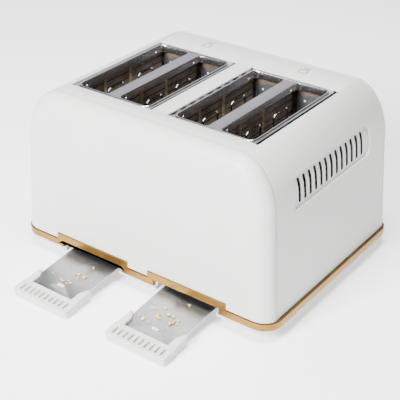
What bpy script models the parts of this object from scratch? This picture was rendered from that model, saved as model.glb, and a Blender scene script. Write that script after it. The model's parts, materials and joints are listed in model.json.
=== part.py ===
"""Four-slice pop-up toaster: arched housing, twin chambers, carriages, crumb trays and controls.

Metres, +Z up. X runs across the toaster, the controls face -Y and the crumb trays leave at +Y.
Everything is laid out around the housing's own middle and hangs from one empty, which moves the
housing back so that the origin is the centre of the footprint with the trays pulled out.
"""
import math

import bmesh
import bpy
from mathutils import Matrix, Vector

# Clearances and sheet thicknesses
GAP = 0.0003
SHELL = 0.0020
SHEET = 0.0008

# Base, band and feet
FOOT_HEIGHT = 0.0120
FOOT_RADIUS = 0.0090
FOOT_X = 0.128
FOOT_Y = 0.088
BAND_WIDTH = 0.3300
BAND_DEPTH = 0.2485
BAND_RADIUS = 0.0210
BAND_THICKNESS = 0.0040
BAND_LOW = FOOT_HEIGHT + 0.0040
BAND_HIGH = BAND_LOW + 0.0075
BASE_INSET = 0.0012
BASE_RIM = 0.0100
FLOOR_TOP = FOOT_HEIGHT + 0.0018
UPSTAND_TOP = BAND_HIGH
UPSTAND_THICKNESS = 0.0022
GLAND_Y = -0.0950
GLAND_HOLE_RADIUS = 0.0068

# Housing arch: a leaning side wall, an elliptical shoulder and a flat top
ARCH_BOTTOM = BAND_HIGH + GAP
ARCH_HALF_WIDTH = 0.1620
SHOULDER_X = 0.1114
SHOULDER_Z = FOOT_HEIGHT + 0.1200
SHOULDER_RX = 0.0434
SHOULDER_RZ = 0.0599
TOP_Z = SHOULDER_Z + SHOULDER_RZ
SHOULDER_STEPS = 11
REAR_FACE_Y = 0.1230
FRONT_FACE_Y = -0.1214
REAR_LEAN = 0.028
END_DEPTH = 0.0150
END_INSET = 0.0190
END_ROUND_STEPS = 5

# Slot windows in the top, one for each pair of slots
PAIR_X = 0.0632
WINDOW_WIDTH = 0.1043
WINDOW_LENGTH = 0.1507
WINDOW_Y = 0.0078
FRAME_MARGIN = 0.0011
FRAME_TOP = TOP_Z - 0.0030
FRAME_SKIRT_LOW = TOP_Z - 0.0160
SLOT_PITCH = 0.0530
SLOT_WIDTH = 0.0380
SLOT_LENGTH = 0.1400
SLOT_RADIUS = 0.0060
DASHES = 9
DASH_SIZE = (0.0020, 0.0090)
DASH_PITCH = 0.0151
DASH_SHIFT = 0.0038
DASH_INSET = 0.0019

# Side vents
VENT_Y = -0.0015
VENT_Z = FOOT_HEIGHT + 0.1313
VENT_WIDTH = 0.1490
VENT_HEIGHT = 0.0340
VENT_RADIUS = 0.0090
VENT_DEPTH = 0.0025
VENT_SLANT = 0.04
VENT_PAD_MARGIN = 0.0030
SLITS = 13
SLIT_PITCH = 0.0101
SLIT_WIDTH = 0.0040
SLIT_HEIGHT = 0.0256

# Toasting chambers
CHAMBER_LOW = 0.0380
BOARD_LOW = 0.0410
BOARD_HIGH = FRAME_SKIRT_LOW - 0.0030
BOARD_THICKNESS = 0.0010
BOARD_OFFSET = SLOT_PITCH - 0.0030
LEG_WIDTH = 0.0120
GUIDE_OFFSET = 0.0165
GUIDE_THICKNESS = 0.0016
GUIDE_LOW = 0.0470
GUIDE_HIGH = 0.1720
GUIDE_LENGTH = 0.1360
GUIDE_BAR = 0.0022
GUIDE_UPRIGHTS = (-0.0680, -0.0492, -0.0239, 0.0014, 0.0267, 0.0520, 0.0658)
GUIDE_BARS = (0.0, 0.0560, 0.1120)

# Bread lift
SHELF_TOP = 0.1180
SHELF_WIDTH = 0.0120
SHELF_THICKNESS = 0.0030
SHELF_TEETH = 9
TOOTH_GAP = (0.0025, 0.0060)
ARM_WIDTH = 0.0032
LIFT_TRAVEL = 0.0680
CARRIAGE_Y = -0.0735
ROD_Y = -0.0860
ROD_RADIUS = 0.0025
ROD_TOP = 0.1660
SPRING_OFFSET = 0.0130
SPRING_RADIUS = 0.0042
SPRING_WIRE = 0.0006
SPRING_TURNS = 6
SPRING_STEPS = 8
KNOB_REACH = 0.0232
KNOB_WIDTH = 0.0340
KNOB_HEIGHT = 0.0150
LEVER_SLOT_WIDTH = 0.0064

# Controls
CONTROL_X = 0.1120
DIAL_Z = 0.0620
DIAL_RADIUS = 0.0170
DIAL_DEPTH = 0.0170
SHAFT_RADIUS = 0.0030
SHAFT_HOLE = 0.0070
BUTTON_Z = (0.1010, 0.1190, 0.1370)
BUTTON_SIZE = (0.0240, 0.0100)
BUTTON_RADIUS = 0.0030
BUTTON_PROUD = 0.0025
BUTTON_TRAVEL = 0.0015
BOARD_Y = -0.1050
STEM_WIDTH = 0.0040
STEM_END = BOARD_Y - FRONT_FACE_Y - BUTTON_TRAVEL - 0.0005

# Crumb trays
TRAY_X = 0.0626
TRAY_TRAVEL = 0.0815
TRAY_SLOPE = math.radians(5.5)
TRAY_WIDTH = 0.0650
TRAY_LENGTH = 0.1750
TRAY_LIP = 0.0030
TRAY_UNDERSIDE = FOOT_HEIGHT + 0.0010
HANDLE_WIDTH = 0.0745
HANDLE_DEPTH = 0.0190
HANDLE_WING = 0.0210
HANDLE_LOW = -0.0044
HANDLE_HIGH = 0.0042
GRIP_SLOTS = 10
GRIP_SLOT_WIDTH = 0.0026
GRIP_SLOT_DEPTH = 0.0014
PLATE_OVERLAP = 0.0030
SIDE_PLAY = 0.0008
OPENING_WIDTH = 0.0830
OPENING_TOP = FOOT_HEIGHT + 0.0113
STEP_WIDTH = 0.0980
STEP_TOP = FOOT_HEIGHT + 0.0192
CHEEK_WIDTH = 0.0040

# Housing middle, set back so that the whole footprint is centred on the origin
REAR_REACH = BAND_DEPTH / 2 + TRAY_TRAVEL
FRONT_REACH = -FRONT_FACE_Y + KNOB_REACH
HOUSING_Y = (FRONT_REACH - REAR_REACH) / 2

COLOURS = {
    "painted_shell": ((0.80, 0.80, 0.78), 0.35, 0.0),
    "white_plastic": ((0.78, 0.78, 0.76), 0.40, 0.0),
    "gold_trim": ((0.60, 0.38, 0.18), 0.35, 0.8),
    "brushed_steel": ((0.62, 0.62, 0.62), 0.25, 1.0),
    "galvanised_steel": ((0.40, 0.42, 0.45), 0.45, 0.9),
    "mica": ((0.30, 0.22, 0.15), 0.60, 0.0),
    "black_rubber": ((0.03, 0.03, 0.03), 0.80, 0.0),
    "circuit_board": ((0.05, 0.20, 0.10), 0.50, 0.0),
    "magnet_iron": ((0.25, 0.22, 0.20), 0.50, 0.7),
}


def clear_scene():
    for obj in list(bpy.data.objects):
        bpy.data.objects.remove(obj, do_unlink=True)


def make_collection(name):
    collection = bpy.data.collections.new(name)
    bpy.context.scene.collection.children.link(collection)
    return collection


def make_material(name):
    colour, roughness, metallic = COLOURS[name]
    material = bpy.data.materials.new(name)
    material.use_nodes = True
    shader = material.node_tree.nodes["Principled BSDF"]
    shader.inputs["Base Color"].default_value = (*colour, 1.0)
    shader.inputs["Roughness"].default_value = roughness
    shader.inputs["Metallic"].default_value = metallic
    material.diffuse_color = (*colour, 1.0)
    return material


clear_scene()
PARTS = make_collection("four_slice_toaster")
CUTTERS = make_collection("cutters")
MATERIALS = {name: make_material(name) for name in COLOURS}
HOUSING = bpy.data.objects.new("housing_middle", None)
HOUSING.location = (0.0, HOUSING_Y, 0.0)
PARTS.objects.link(HOUSING)


def add_object(name, mesh, material=None, location=(0.0, 0.0, 0.0), parent=HOUSING):
    """A part when it has a material, a cutter when it has none."""
    obj = bpy.data.objects.new(name, mesh)
    obj.location = location
    obj.parent = parent
    if material is None:
        obj.hide_render = True
        obj.display_type = "WIRE"
        CUTTERS.objects.link(obj)
        return obj
    obj.data.materials.append(MATERIALS[material])
    PARTS.objects.link(obj)
    return obj


def mesh_from(name, bm):
    bmesh.ops.recalc_face_normals(bm, faces=bm.faces)
    mesh = bpy.data.meshes.new(name)
    bm.to_mesh(mesh)
    bm.free()
    return mesh


def add_box(bm, low, high):
    low = Vector(low)
    high = Vector(high)
    size = high - low
    place = Matrix.Translation((low + high) / 2) @ Matrix.Diagonal((*size, 1.0))
    bmesh.ops.create_cube(bm, size=1.0, matrix=place)


def boxes(name, corners, material=None, **keys):
    """One mesh of separate boxes, each given by its lowest and highest corner."""
    bm = bmesh.new()
    for low, high in corners:
        add_box(bm, low, high)
    return add_object(name, mesh_from(name, bm), material, **keys)


def cylinder(name, radius, low, high, material=None, segments=32, axis="Z", **keys):
    """A round bar between two points that share an axis."""
    low = Vector(low)
    high = Vector(high)
    turns = {"X": Matrix.Rotation(math.pi / 2, 4, "Y"), "Y": Matrix.Rotation(math.pi / 2, 4, "X"),
             "Z": Matrix.Identity(4)}
    bm = bmesh.new()
    bmesh.ops.create_cone(
        bm, cap_ends=True, segments=segments, radius1=radius, radius2=radius,
        depth=(high - low).length, matrix=Matrix.Translation((low + high) / 2) @ turns[axis])
    return add_object(name, mesh_from(name, bm), material, **keys)


def rounded_rectangle(width, height, radius, steps=6, middle=(0.0, 0.0)):
    points = []
    for quarter in range(4):
        side = (1, -1, -1, 1)[quarter], (1, 1, -1, -1)[quarter]
        corner_x = middle[0] + side[0] * (width / 2 - radius)
        corner_y = middle[1] + side[1] * (height / 2 - radius)
        for step in range(steps + 1):
            angle = math.pi / 2 * (quarter + step / steps)
            points.append((corner_x + radius * math.cos(angle), corner_y + radius * math.sin(angle)))
    return points


def add_prism(bm, outline, low, high, axis="Z"):
    """Extrude a flat outline: (x, y) along Z, (x, z) along Y or (y, z) along X."""
    orders = {"X": lambda a, b, c: (c, a, b), "Y": lambda a, b, c: (a, c, b), "Z": lambda a, b, c: (a, b, c)}
    place = orders[axis]
    ring = [bm.verts.new(place(a, b, low)) for a, b in outline]
    face = bm.faces.new(ring)
    grown = bmesh.ops.extrude_face_region(bm, geom=[face])
    top = [item for item in grown["geom"] if isinstance(item, bmesh.types.BMVert)]
    shift = Vector(place(0.0, 0.0, high)) - Vector(place(0.0, 0.0, low))
    bmesh.ops.translate(bm, verts=top, vec=shift)


def prism(name, outlines, low, high, material=None, axis="Z", **keys):
    bm = bmesh.new()
    for outline in outlines:
        add_prism(bm, outline, low, high, axis)
    return add_object(name, mesh_from(name, bm), material, **keys)


def combine(target, other, operation="DIFFERENCE"):
    modifier = target.modifiers.new(other.name, "BOOLEAN")
    modifier.operation = operation
    modifier.solver = "EXACT"
    modifier.object = other
    return target


def round_edges(obj, width, segments=2, angle=30):
    modifier = obj.modifiers.new("rounding", "BEVEL")
    modifier.width = width
    modifier.segments = segments
    modifier.limit_method = "ANGLE"
    modifier.angle_limit = math.radians(angle)
    return obj


# ---------------------------------------------------------------- housing

def arch_outline(inset, bottom):
    """(x, z) points of the arch moved inwards by inset, from the lower right over the top."""
    right = [(ARCH_HALF_WIDTH - inset, bottom)]
    for step in range(SHOULDER_STEPS + 1):
        angle = math.pi / 2 * step / SHOULDER_STEPS
        right.append((SHOULDER_X + (SHOULDER_RX - inset) * math.cos(angle),
                      SHOULDER_Z + (SHOULDER_RZ - inset) * math.sin(angle)))
    return right + [(-x, z) for x, z in reversed(right)]


def arch_loft(name, rings, bottom, material=None):
    """A solid lofted through arches: each ring is (y, lean, inset), and lean tips it inwards."""
    bm = bmesh.new()
    loops = []
    for y, lean, inset in rings:
        loop = []
        for x, z in arch_outline(inset, bottom):
            loop.append(bm.verts.new((x, y - lean * (z - ARCH_BOTTOM), z)))
        loops.append(loop)
    for near, far in zip(loops, loops[1:]):
        for index in range(len(near)):
            after = (index + 1) % len(near)
            bm.faces.new((near[index], near[after], far[after], far[index]))
    bm.faces.new(loops[0])
    bm.faces.new(loops[-1])
    return add_object(name, mesh_from(name, bm), material)


def cap_rings(face_y, lean, wall, seam_shift):
    """Rings from the seam to the end face, with the rim rounded all the way round the arch."""
    side = 1.0 if face_y > 0 else -1.0
    rings = [(face_y - side * (END_DEPTH + seam_shift), lean, wall)] if seam_shift else []
    depth = END_DEPTH - wall
    inset = END_INSET - wall
    for step in range(END_ROUND_STEPS + 1):
        angle = math.pi / 2 * (1 - step / END_ROUND_STEPS)
        rings.append((face_y - side * (wall + depth * (1 - math.cos(angle))), lean,
                      wall + inset * (1 - math.sin(angle))))
    return rings


def end_cap(name, face_y, lean):
    cap = arch_loft(name, cap_rings(face_y, lean, 0.0, 0.0), ARCH_BOTTOM, "painted_shell")
    hollow = arch_loft(name + "_hollow", cap_rings(face_y, lean, SHELL, 0.004), ARCH_BOTTOM - 0.01)
    return combine(cap, hollow)


def window_corners(side, low, high, margin=0.0):
    middle = side * PAIR_X
    reach_x = WINDOW_WIDTH / 2 - margin
    reach_y = WINDOW_LENGTH / 2 - margin
    return (middle - reach_x, WINDOW_Y - reach_y, low), (middle + reach_x, WINDOW_Y + reach_y, high)


def vent_outline(width, height, radius):
    """(y, z) points of the slanted vent recess."""
    flat = rounded_rectangle(width, height, radius, steps=4)
    return [(VENT_Y + y + VENT_SLANT * z, VENT_Z + z) for y, z in flat]


def slit_outline(index):
    middle = VENT_Y + (index - (SLITS - 1) / 2) * SLIT_PITCH
    flat = rounded_rectangle(SLIT_WIDTH, SLIT_HEIGHT, SLIT_WIDTH / 2 - 0.0001, steps=1)
    return [(middle + y + VENT_SLANT * z, VENT_Z + z) for y, z in flat]


def wrap_rings(wall, overrun):
    rear = REAR_FACE_Y - END_DEPTH - GAP + overrun
    front = FRONT_FACE_Y + END_DEPTH + GAP - overrun
    return [(rear, REAR_LEAN, wall), (front, 0.0, wall)]


def wrap_cover():
    cover = arch_loft("wrap_cover", wrap_rings(0.0, 0.0), ARCH_BOTTOM, "painted_shell")
    hollow = arch_loft("wrap_hollow", wrap_rings(SHELL, 0.01), ARCH_BOTTOM - 0.01)
    pad_outline = vent_outline(VENT_WIDTH + 2 * VENT_PAD_MARGIN, VENT_HEIGHT + 2 * VENT_PAD_MARGIN,
                               VENT_RADIUS + VENT_PAD_MARGIN)
    pad = prism("vent_pads", [pad_outline], -0.2, 0.2, axis="X")
    combine(pad, arch_loft("pad_inside", wrap_rings(SHELL + VENT_DEPTH, 0.01), ARCH_BOTTOM - 0.02))
    combine(hollow, pad)
    combine(cover, hollow)
    recess_outline = vent_outline(VENT_WIDTH, VENT_HEIGHT, VENT_RADIUS)
    recess = prism("vent_recess", [recess_outline], -0.2, 0.2, axis="X")
    combine(recess, arch_loft("recess_floor", wrap_rings(VENT_DEPTH, 0.02), ARCH_BOTTOM - 0.03))
    combine(cover, recess)
    slits = [slit_outline(index) for index in range(SLITS)]
    combine(cover, prism("vent_slits", slits, -0.2, 0.2, axis="X"))
    windows = [window_corners(side, TOP_Z - 0.01, TOP_Z + 0.01) for side in (-1, 1)]
    combine(cover, boxes("windows", windows))


def control_openings():
    """Cutter for the lever slots, dial holes and button holes in the front cap."""
    bm = bmesh.new()
    for side in (-1, 1):
        lever = rounded_rectangle(LEVER_SLOT_WIDTH, LIFT_TRAVEL + 0.0120, LEVER_SLOT_WIDTH / 2 - 0.0001,
                                  steps=4, middle=(side * PAIR_X, SHELF_TOP - 0.002 - LIFT_TRAVEL / 2))
        add_prism(bm, lever, -0.2, -0.1, "Y")
        hole = rounded_rectangle(SHAFT_HOLE, SHAFT_HOLE, SHAFT_HOLE / 2 - 0.0001,
                                 middle=(side * CONTROL_X, DIAL_Z))
        add_prism(bm, hole, -0.2, -0.1, "Y")
        for height in BUTTON_Z:
            outline = rounded_rectangle(BUTTON_SIZE[0] + 2 * GAP, BUTTON_SIZE[1] + 2 * GAP,
                                        BUTTON_RADIUS + GAP, steps=4, middle=(side * CONTROL_X, height))
            add_prism(bm, outline, -0.2, -0.1, "Y")
    return add_object("control_openings", mesh_from("control_openings", bm))


def tray_spans(width, low, high, rear=0.02, front=-0.02):
    """Boxes through the rear edge of the base, one at each tray."""
    edge = BAND_DEPTH / 2
    return [((side * TRAY_X - width / 2, edge + front, low), (side * TRAY_X + width / 2, edge + rear, high))
            for side in (-1, 1)]


def trim_band():
    outer = rounded_rectangle(BAND_WIDTH, BAND_DEPTH, BAND_RADIUS)
    inner = rounded_rectangle(BAND_WIDTH - 2 * BAND_THICKNESS, BAND_DEPTH - 2 * BAND_THICKNESS,
                              BAND_RADIUS - BAND_THICKNESS)
    band = prism("trim_band", [outer], BAND_LOW, BAND_HIGH, "gold_trim")
    edge = BAND_DEPTH / 2
    steps = [((side * TRAY_X - STEP_WIDTH / 2, edge - 0.012, BAND_HIGH - 0.004),
              (side * TRAY_X + STEP_WIDTH / 2, edge, STEP_TOP)) for side in (-1, 1)]
    combine(band, boxes("band_steps", steps), "UNION")
    combine(band, prism("band_inside", [inner], BAND_LOW - 0.01, STEP_TOP + 0.01))
    combine(band, boxes("tray_mouths", tray_spans(OPENING_WIDTH, BAND_LOW - 0.01, OPENING_TOP)))


def housing_shells():
    wrap_cover()
    rear = end_cap("rear_cap", REAR_FACE_Y, REAR_LEAN)
    notches = tray_spans(STEP_WIDTH + 2 * GAP, ARCH_BOTTOM - 0.02, STEP_TOP + GAP, front=-0.014)
    combine(rear, boxes("step_notches", notches))
    front = end_cap("front_cap", FRONT_FACE_Y, 0.0)
    combine(front, control_openings())


# ---------------------------------------------------------------- base

def base_outline(inset):
    return rounded_rectangle(BAND_WIDTH - 2 * inset, BAND_DEPTH - 2 * inset, BAND_RADIUS - inset)


def runner(side, edge):
    """(y, z) wedge under one long edge of a tray, parallel to the sloping slide."""
    rear = BAND_DEPTH / 2 - HANDLE_DEPTH - HANDLE_WING - 0.006
    front = -0.064
    rise = math.tan(TRAY_SLOPE)
    level = TRAY_UNDERSIDE - GAP
    outline = [(rear, FLOOR_TOP - 0.001), (rear, level + rise * (BAND_DEPTH / 2 - rear)),
               (front, level + rise * (BAND_DEPTH / 2 - front)), (front, FLOOR_TOP - 0.001)]
    middle = side * TRAY_X + edge * (TRAY_WIDTH / 2 - 0.004)
    return outline, middle - 0.0015, middle + 0.0015


def base_plate():
    """Shallow floor with an upstand inside the band, and cheeks and sloping runners for each tray."""
    base = prism("base_plate", [base_outline(BASE_INSET)], FOOT_HEIGHT, BAND_LOW - GAP, "white_plastic")
    combine(base, prism("base_pocket", [base_outline(BASE_RIM)], FLOOR_TOP, 0.05))
    inset = BAND_THICKNESS + GAP
    wall = prism("upstand", [base_outline(inset)], FLOOR_TOP, UPSTAND_TOP)
    combine(wall, prism("upstand_inside", [base_outline(inset + UPSTAND_THICKNESS)], BAND_LOW - GAP, 0.05))
    combine(wall, prism("upstand_foot", [base_outline(BASE_RIM + 0.001)], 0.0, 0.05))
    width = HANDLE_WIDTH + 2 * SIDE_PLAY
    combine(wall, boxes("upstand_mouths", tray_spans(width, BAND_LOW - GAP, OPENING_TOP)))
    combine(base, wall, "UNION")
    rear = BAND_DEPTH / 2 - inset - 0.001
    bm = bmesh.new()
    for side in (-1, 1):
        for edge in (-1, 1):
            inner = side * TRAY_X + edge * width / 2
            outer = inner + edge * CHEEK_WIDTH
            add_box(bm, (min(inner, outer), rear - 0.032, FLOOR_TOP - 0.001),
                    (max(inner, outer), rear, OPENING_TOP + 0.002))
            outline, low, high = runner(side, edge)
            add_prism(bm, outline, low, high, "X")
    combine(base, add_object("cheeks_and_runners", mesh_from("cheeks_and_runners", bm)), "UNION")
    notch = HANDLE_DEPTH + HANDLE_WING + 0.002
    combine(base, boxes("handle_notches", tray_spans(width, 0.0, OPENING_TOP, front=-notch)))
    combine(base, cylinder("gland_hole", GLAND_HOLE_RADIUS, (0.0, GLAND_Y, 0.0), (0.0, GLAND_Y, 0.03)))


def feet():
    for front_name, y in (("front", -FOOT_Y), ("rear", FOOT_Y)):
        for side_name, x in (("left", -FOOT_X), ("right", FOOT_X)):
            foot = cylinder(f"foot_{front_name}_{side_name}", FOOT_RADIUS, (x, y, 0.0),
                            (x, y, FOOT_HEIGHT - GAP), "black_rubber", segments=24)
            round_edges(foot, 0.0010, 1, 60)


def cord_gland():
    """Turned bush in the floor where the mains lead enters."""
    low = FOOT_HEIGHT - GAP
    bore = 0.0034
    neck = GLAND_HOLE_RADIUS - 0.0006
    flange = 0.0095
    profile = [(bore, FLOOR_TOP + 0.0042), (neck - 0.0004, FLOOR_TOP + 0.0042), (neck, FLOOR_TOP + 0.0002),
               (neck, low), (flange, low), (flange, low - 0.0018), (bore + 0.0014, low - 0.0026),
               (bore, low - 0.0026)]
    bm = bmesh.new()
    verts = [bm.verts.new((r, 0.0, z)) for r, z in profile]
    for index in range(len(verts)):
        bm.edges.new((verts[index], verts[(index + 1) % len(verts)]))
    mesh = bpy.data.meshes.new("cord_gland")
    bm.to_mesh(mesh)
    bm.free()
    gland = add_object("cord_gland", mesh, "black_rubber", location=(0.0, GLAND_Y, 0.0))
    screw = gland.modifiers.new("turned", "SCREW")
    screw.axis = "Z"
    screw.steps = 18
    screw.render_steps = 18
    screw.use_merge_vertices = True
    screw.merge_threshold = 0.00001


# ---------------------------------------------------------------- crumb trays

def crumb_tray(side_name, side):
    """Sheet plate and moulded handle on one sloping slide, local x across, y outwards, z up."""
    slide = bpy.data.objects.new(f"{side_name}_tray_slide", None)
    slide.location = (side * TRAY_X, BAND_DEPTH / 2, TRAY_UNDERSIDE)
    slide.rotation_euler = (-TRAY_SLOPE, 0.0, 0.0)
    slide.parent = HOUSING
    PARTS.objects.link(slide)
    out = TRAY_TRAVEL / math.cos(TRAY_SLOPE)
    root = out - HANDLE_DEPTH + PLATE_OVERLAP
    half = TRAY_WIDTH / 2
    plate = boxes(f"{side_name}_tray_plate", [((-half, root - TRAY_LENGTH, 0.0), (half, root, TRAY_LIP))],
                  "galvanised_steel", parent=slide)
    inside = ((-half + SHEET, root - TRAY_LENGTH + SHEET, SHEET), (half - SHEET, root + 0.01, 0.01))
    combine(plate, boxes(f"{side_name}_tray_hollow", [inside], parent=slide))
    grip = HANDLE_WIDTH / 2
    heel = out - HANDLE_DEPTH
    wing = heel - HANDLE_WING
    corner = 0.003
    tip = 0.006
    arm = 0.0095
    half_outline = [(grip - arm, heel), (grip - arm, wing + tip), (grip - tip, wing), (grip, wing),
                    (grip, out - corner), (grip - corner, out)]
    outline = half_outline + [(-x, y) for x, y in reversed(half_outline)]
    handle = prism(f"{side_name}_tray_handle", [outline], HANDLE_LOW, HANDLE_HIGH, "white_plastic",
                   parent=slide)
    pocket = ((-half - GAP, wing - 0.01, -GAP), (half + GAP, root + GAP, TRAY_LIP + GAP))
    combine(handle, boxes(f"{side_name}_plate_pocket", [pocket], parent=slide))
    pitch = (HANDLE_WIDTH - 0.008) / GRIP_SLOTS
    slots = []
    for index in range(GRIP_SLOTS):
        x = (index - (GRIP_SLOTS - 1) / 2) * pitch
        slots.append(((x - GRIP_SLOT_WIDTH / 2, heel + 0.0055, HANDLE_HIGH - GRIP_SLOT_DEPTH),
                      (x + GRIP_SLOT_WIDTH / 2, out - 0.0035, 0.02)))
    combine(handle, boxes(f"{side_name}_grip_slots", slots, parent=slide))


# ---------------------------------------------------------------- toasting chambers

def slot_middles(side):
    return side * PAIR_X - SLOT_PITCH / 2, side * PAIR_X + SLOT_PITCH / 2


def slot_frame(side_name, side):
    low, high = window_corners(side, FRAME_SKIRT_LOW, FRAME_TOP, FRAME_MARGIN)
    frame = boxes(f"{side_name}_slot_frame", [(low, high)], "brushed_steel")
    pocket_low = (low[0] + SHEET, low[1] + SHEET, 0.1)
    pocket_high = (high[0] - SHEET, high[1] - SHEET, FRAME_TOP - SHEET)
    pocket = boxes(f"{side_name}_frame_pocket", [(pocket_low, pocket_high)])
    walls = [rounded_rectangle(SLOT_WIDTH + 2 * SHEET, SLOT_LENGTH + 2 * SHEET, SLOT_RADIUS + SHEET, 4,
                               (middle, WINDOW_Y)) for middle in slot_middles(side)]
    combine(pocket, prism(f"{side_name}_slot_walls", walls, 0.05, 0.25))
    combine(frame, pocket)
    holes = [rounded_rectangle(SLOT_WIDTH, SLOT_LENGTH, SLOT_RADIUS, 4, (middle, WINDOW_Y))
             for middle in slot_middles(side)]
    combine(frame, prism(f"{side_name}_slots", holes, 0.05, 0.25))
    x = side * (PAIR_X - WINDOW_WIDTH / 2 + FRAME_MARGIN + DASH_INSET)
    half_x = DASH_SIZE[0] / 2
    half_y = DASH_SIZE[1] / 2
    dashes = []
    for index in range(DASHES):
        y = WINDOW_Y + DASH_SHIFT + (index - (DASHES - 1) / 2) * DASH_PITCH
        dashes.append(((x - half_x, y - half_y, FRAME_TOP - 0.005),
                       (x + half_x, y + half_y, FRAME_TOP + 0.005)))
    combine(frame, boxes(f"{side_name}_dashes", dashes))


def end_plate(side_name, side, front):
    """Chamber end on two legs that straddle the crumb tray; the front one is slotted for the shelves."""
    low, high = window_corners(side, 0.0, 0.0, FRAME_MARGIN)
    y = low[1] if front else high[1] - SHEET
    left_leg = low[0] + LEG_WIDTH
    right_leg = high[0] - LEG_WIDTH
    outline = [(low[0], FLOOR_TOP + GAP), (left_leg, FLOOR_TOP + GAP), (left_leg, CHAMBER_LOW),
               (right_leg, CHAMBER_LOW), (right_leg, FLOOR_TOP + GAP), (high[0], FLOOR_TOP + GAP),
               (high[0], FRAME_SKIRT_LOW - GAP), (low[0], FRAME_SKIRT_LOW - GAP)]
    place = "front" if front else "rear"
    plate = prism(f"{side_name}_{place}_end_plate", [outline], y, y + SHEET, "galvanised_steel", axis="Y")
    if not front:
        return
    tab = boxes(f"{side_name}_rod_tab", [((side * PAIR_X - 0.006, ROD_Y - 0.008, ROD_TOP + GAP),
                                          (side * PAIR_X + 0.022, y + SHEET / 2, ROD_TOP + GAP + 0.0012))])
    combine(plate, tab, "UNION")
    slots = [((middle - 0.0024, y - 0.004, SHELF_TOP - LIFT_TRAVEL - 0.0120),
              (middle + 0.0024, y + 0.004, SHELF_TOP + 0.002)) for middle in slot_middles(side)]
    combine(plate, boxes(f"{side_name}_shelf_slots", slots))


def heater_boards(side_name, side):
    low, high = window_corners(side, BOARD_LOW, BOARD_HIGH, FRAME_MARGIN + SHEET + GAP)
    places = {"outer": side * (PAIR_X + BOARD_OFFSET), "middle": side * PAIR_X,
              "inner": side * (PAIR_X - BOARD_OFFSET)}
    half = BOARD_THICKNESS / 2
    for name, x in places.items():
        board = ((x - half, low[1], low[2]), (x + half, high[1], high[2]))
        boxes(f"{side_name}_{name}_heater", [board], "mica")


def bread_guide(name, x):
    """Flat wire grille that tips on its bottom bar; the object's origin is the pivot."""
    half = GUIDE_LENGTH / 2
    height = GUIDE_HIGH - GUIDE_LOW
    grille = boxes(name, [((-GUIDE_THICKNESS / 2, -half, -0.001), (GUIDE_THICKNESS / 2, half, height))],
                   "brushed_steel", location=(x, WINDOW_Y, GUIDE_LOW))
    tops = [*GUIDE_BARS[1:], height - GUIDE_BAR]
    cells = []
    for column, (left, right) in enumerate(zip(GUIDE_UPRIGHTS, GUIDE_UPRIGHTS[1:])):
        for row, (bar, top) in enumerate(zip(GUIDE_BARS, tops)):
            open_top = row == len(tops) - 1 and column % 2 == 0
            cells.append(((-0.01, left + GUIDE_BAR, bar + GUIDE_BAR),
                          (0.01, right, height + 0.01 if open_top else top)))
    combine(grille, boxes(name + "_cells", cells, location=(x, WINDOW_Y, GUIDE_LOW)))


def chamber(side_name, side):
    slot_frame(side_name, side)
    end_plate(side_name, side, True)
    end_plate(side_name, side, False)
    heater_boards(side_name, side)
    for number, middle in enumerate(slot_middles(side), start=1):
        bread_guide(f"{side_name}_slot{number}_guide_a", middle - GUIDE_OFFSET)
        bread_guide(f"{side_name}_slot{number}_guide_b", middle + GUIDE_OFFSET)


# ---------------------------------------------------------------- bread lift

def bread_shelf(name, middle, lift):
    """Toothed bar under the bread with an arm through the chamber's front plate."""
    front = WINDOW_Y - SLOT_LENGTH / 2 + 0.006
    rear = WINDOW_Y + SLOT_LENGTH / 2 - 0.006
    half = SHELF_WIDTH / 2
    bar = ((middle - half, front, SHELF_TOP - SHELF_THICKNESS), (middle + half, rear, SHELF_TOP))
    shelf = boxes(name, [bar], "galvanised_steel", parent=lift)
    arm = ((middle - ARM_WIDTH / 2, CARRIAGE_Y + SHEET + GAP, SHELF_TOP - 0.0090),
           (middle + ARM_WIDTH / 2, front + 0.030, SHELF_TOP - 0.0015))
    combine(shelf, boxes(name + "_arm", [arm], parent=lift), "UNION")
    notches = []
    depth, length = TOOTH_GAP
    for index in range(SHELF_TEETH):
        y = front + (index + 0.5) * (rear - front) / SHELF_TEETH
        for edge in (-1, 1):
            near = middle + edge * (half - depth)
            far = middle + edge * (half + 0.002)
            notches.append(((min(near, far), y - length / 2, 0.0), (max(near, far), y + length / 2, 0.2)))
    combine(shelf, boxes(name + "_teeth", notches, parent=lift))


def lift_carriage(side_name, side, lift):
    """Cross plate that carries both shelves, a collar on the guide rod and the lever arm."""
    x = side * PAIR_X
    reach = SLOT_PITCH / 2 + 0.006
    low = SHELF_TOP - 0.012
    high = SHELF_TOP + 0.004
    carriage = boxes(f"{side_name}_lift_carriage",
                     [((x - reach, CARRIAGE_Y - SHEET, low), (x + reach, CARRIAGE_Y + SHEET, high))],
                     "galvanised_steel", parent=lift)
    collar = ((x - 0.006, ROD_Y - 0.0065, low), (x + 0.018, CARRIAGE_Y, high - 0.002))
    combine(carriage, boxes(f"{side_name}_collar", [collar], parent=lift), "UNION")
    lever_arm = ((x - 0.0020, FRONT_FACE_Y - 0.0015, SHELF_TOP - 0.0060),
                 (x + 0.0020, ROD_Y, SHELF_TOP + 0.0020))
    combine(carriage, boxes(f"{side_name}_lever_arm", [lever_arm], parent=lift), "UNION")
    combine(carriage, cylinder(f"{side_name}_rod_bore", ROD_RADIUS + GAP, (x, ROD_Y, 0.0), (x, ROD_Y, 0.2),
                               parent=lift))
    knob_low = SHELF_TOP - 0.0095
    knob_block = ((x - KNOB_WIDTH / 2, FRONT_FACE_Y - KNOB_REACH, knob_low),
                  (x + KNOB_WIDTH / 2, FRONT_FACE_Y - 0.0018, knob_low + KNOB_HEIGHT))
    knob = boxes(f"{side_name}_lever_knob", [knob_block], "white_plastic", parent=lift)
    round_edges(knob, 0.0030, 3)


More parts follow.
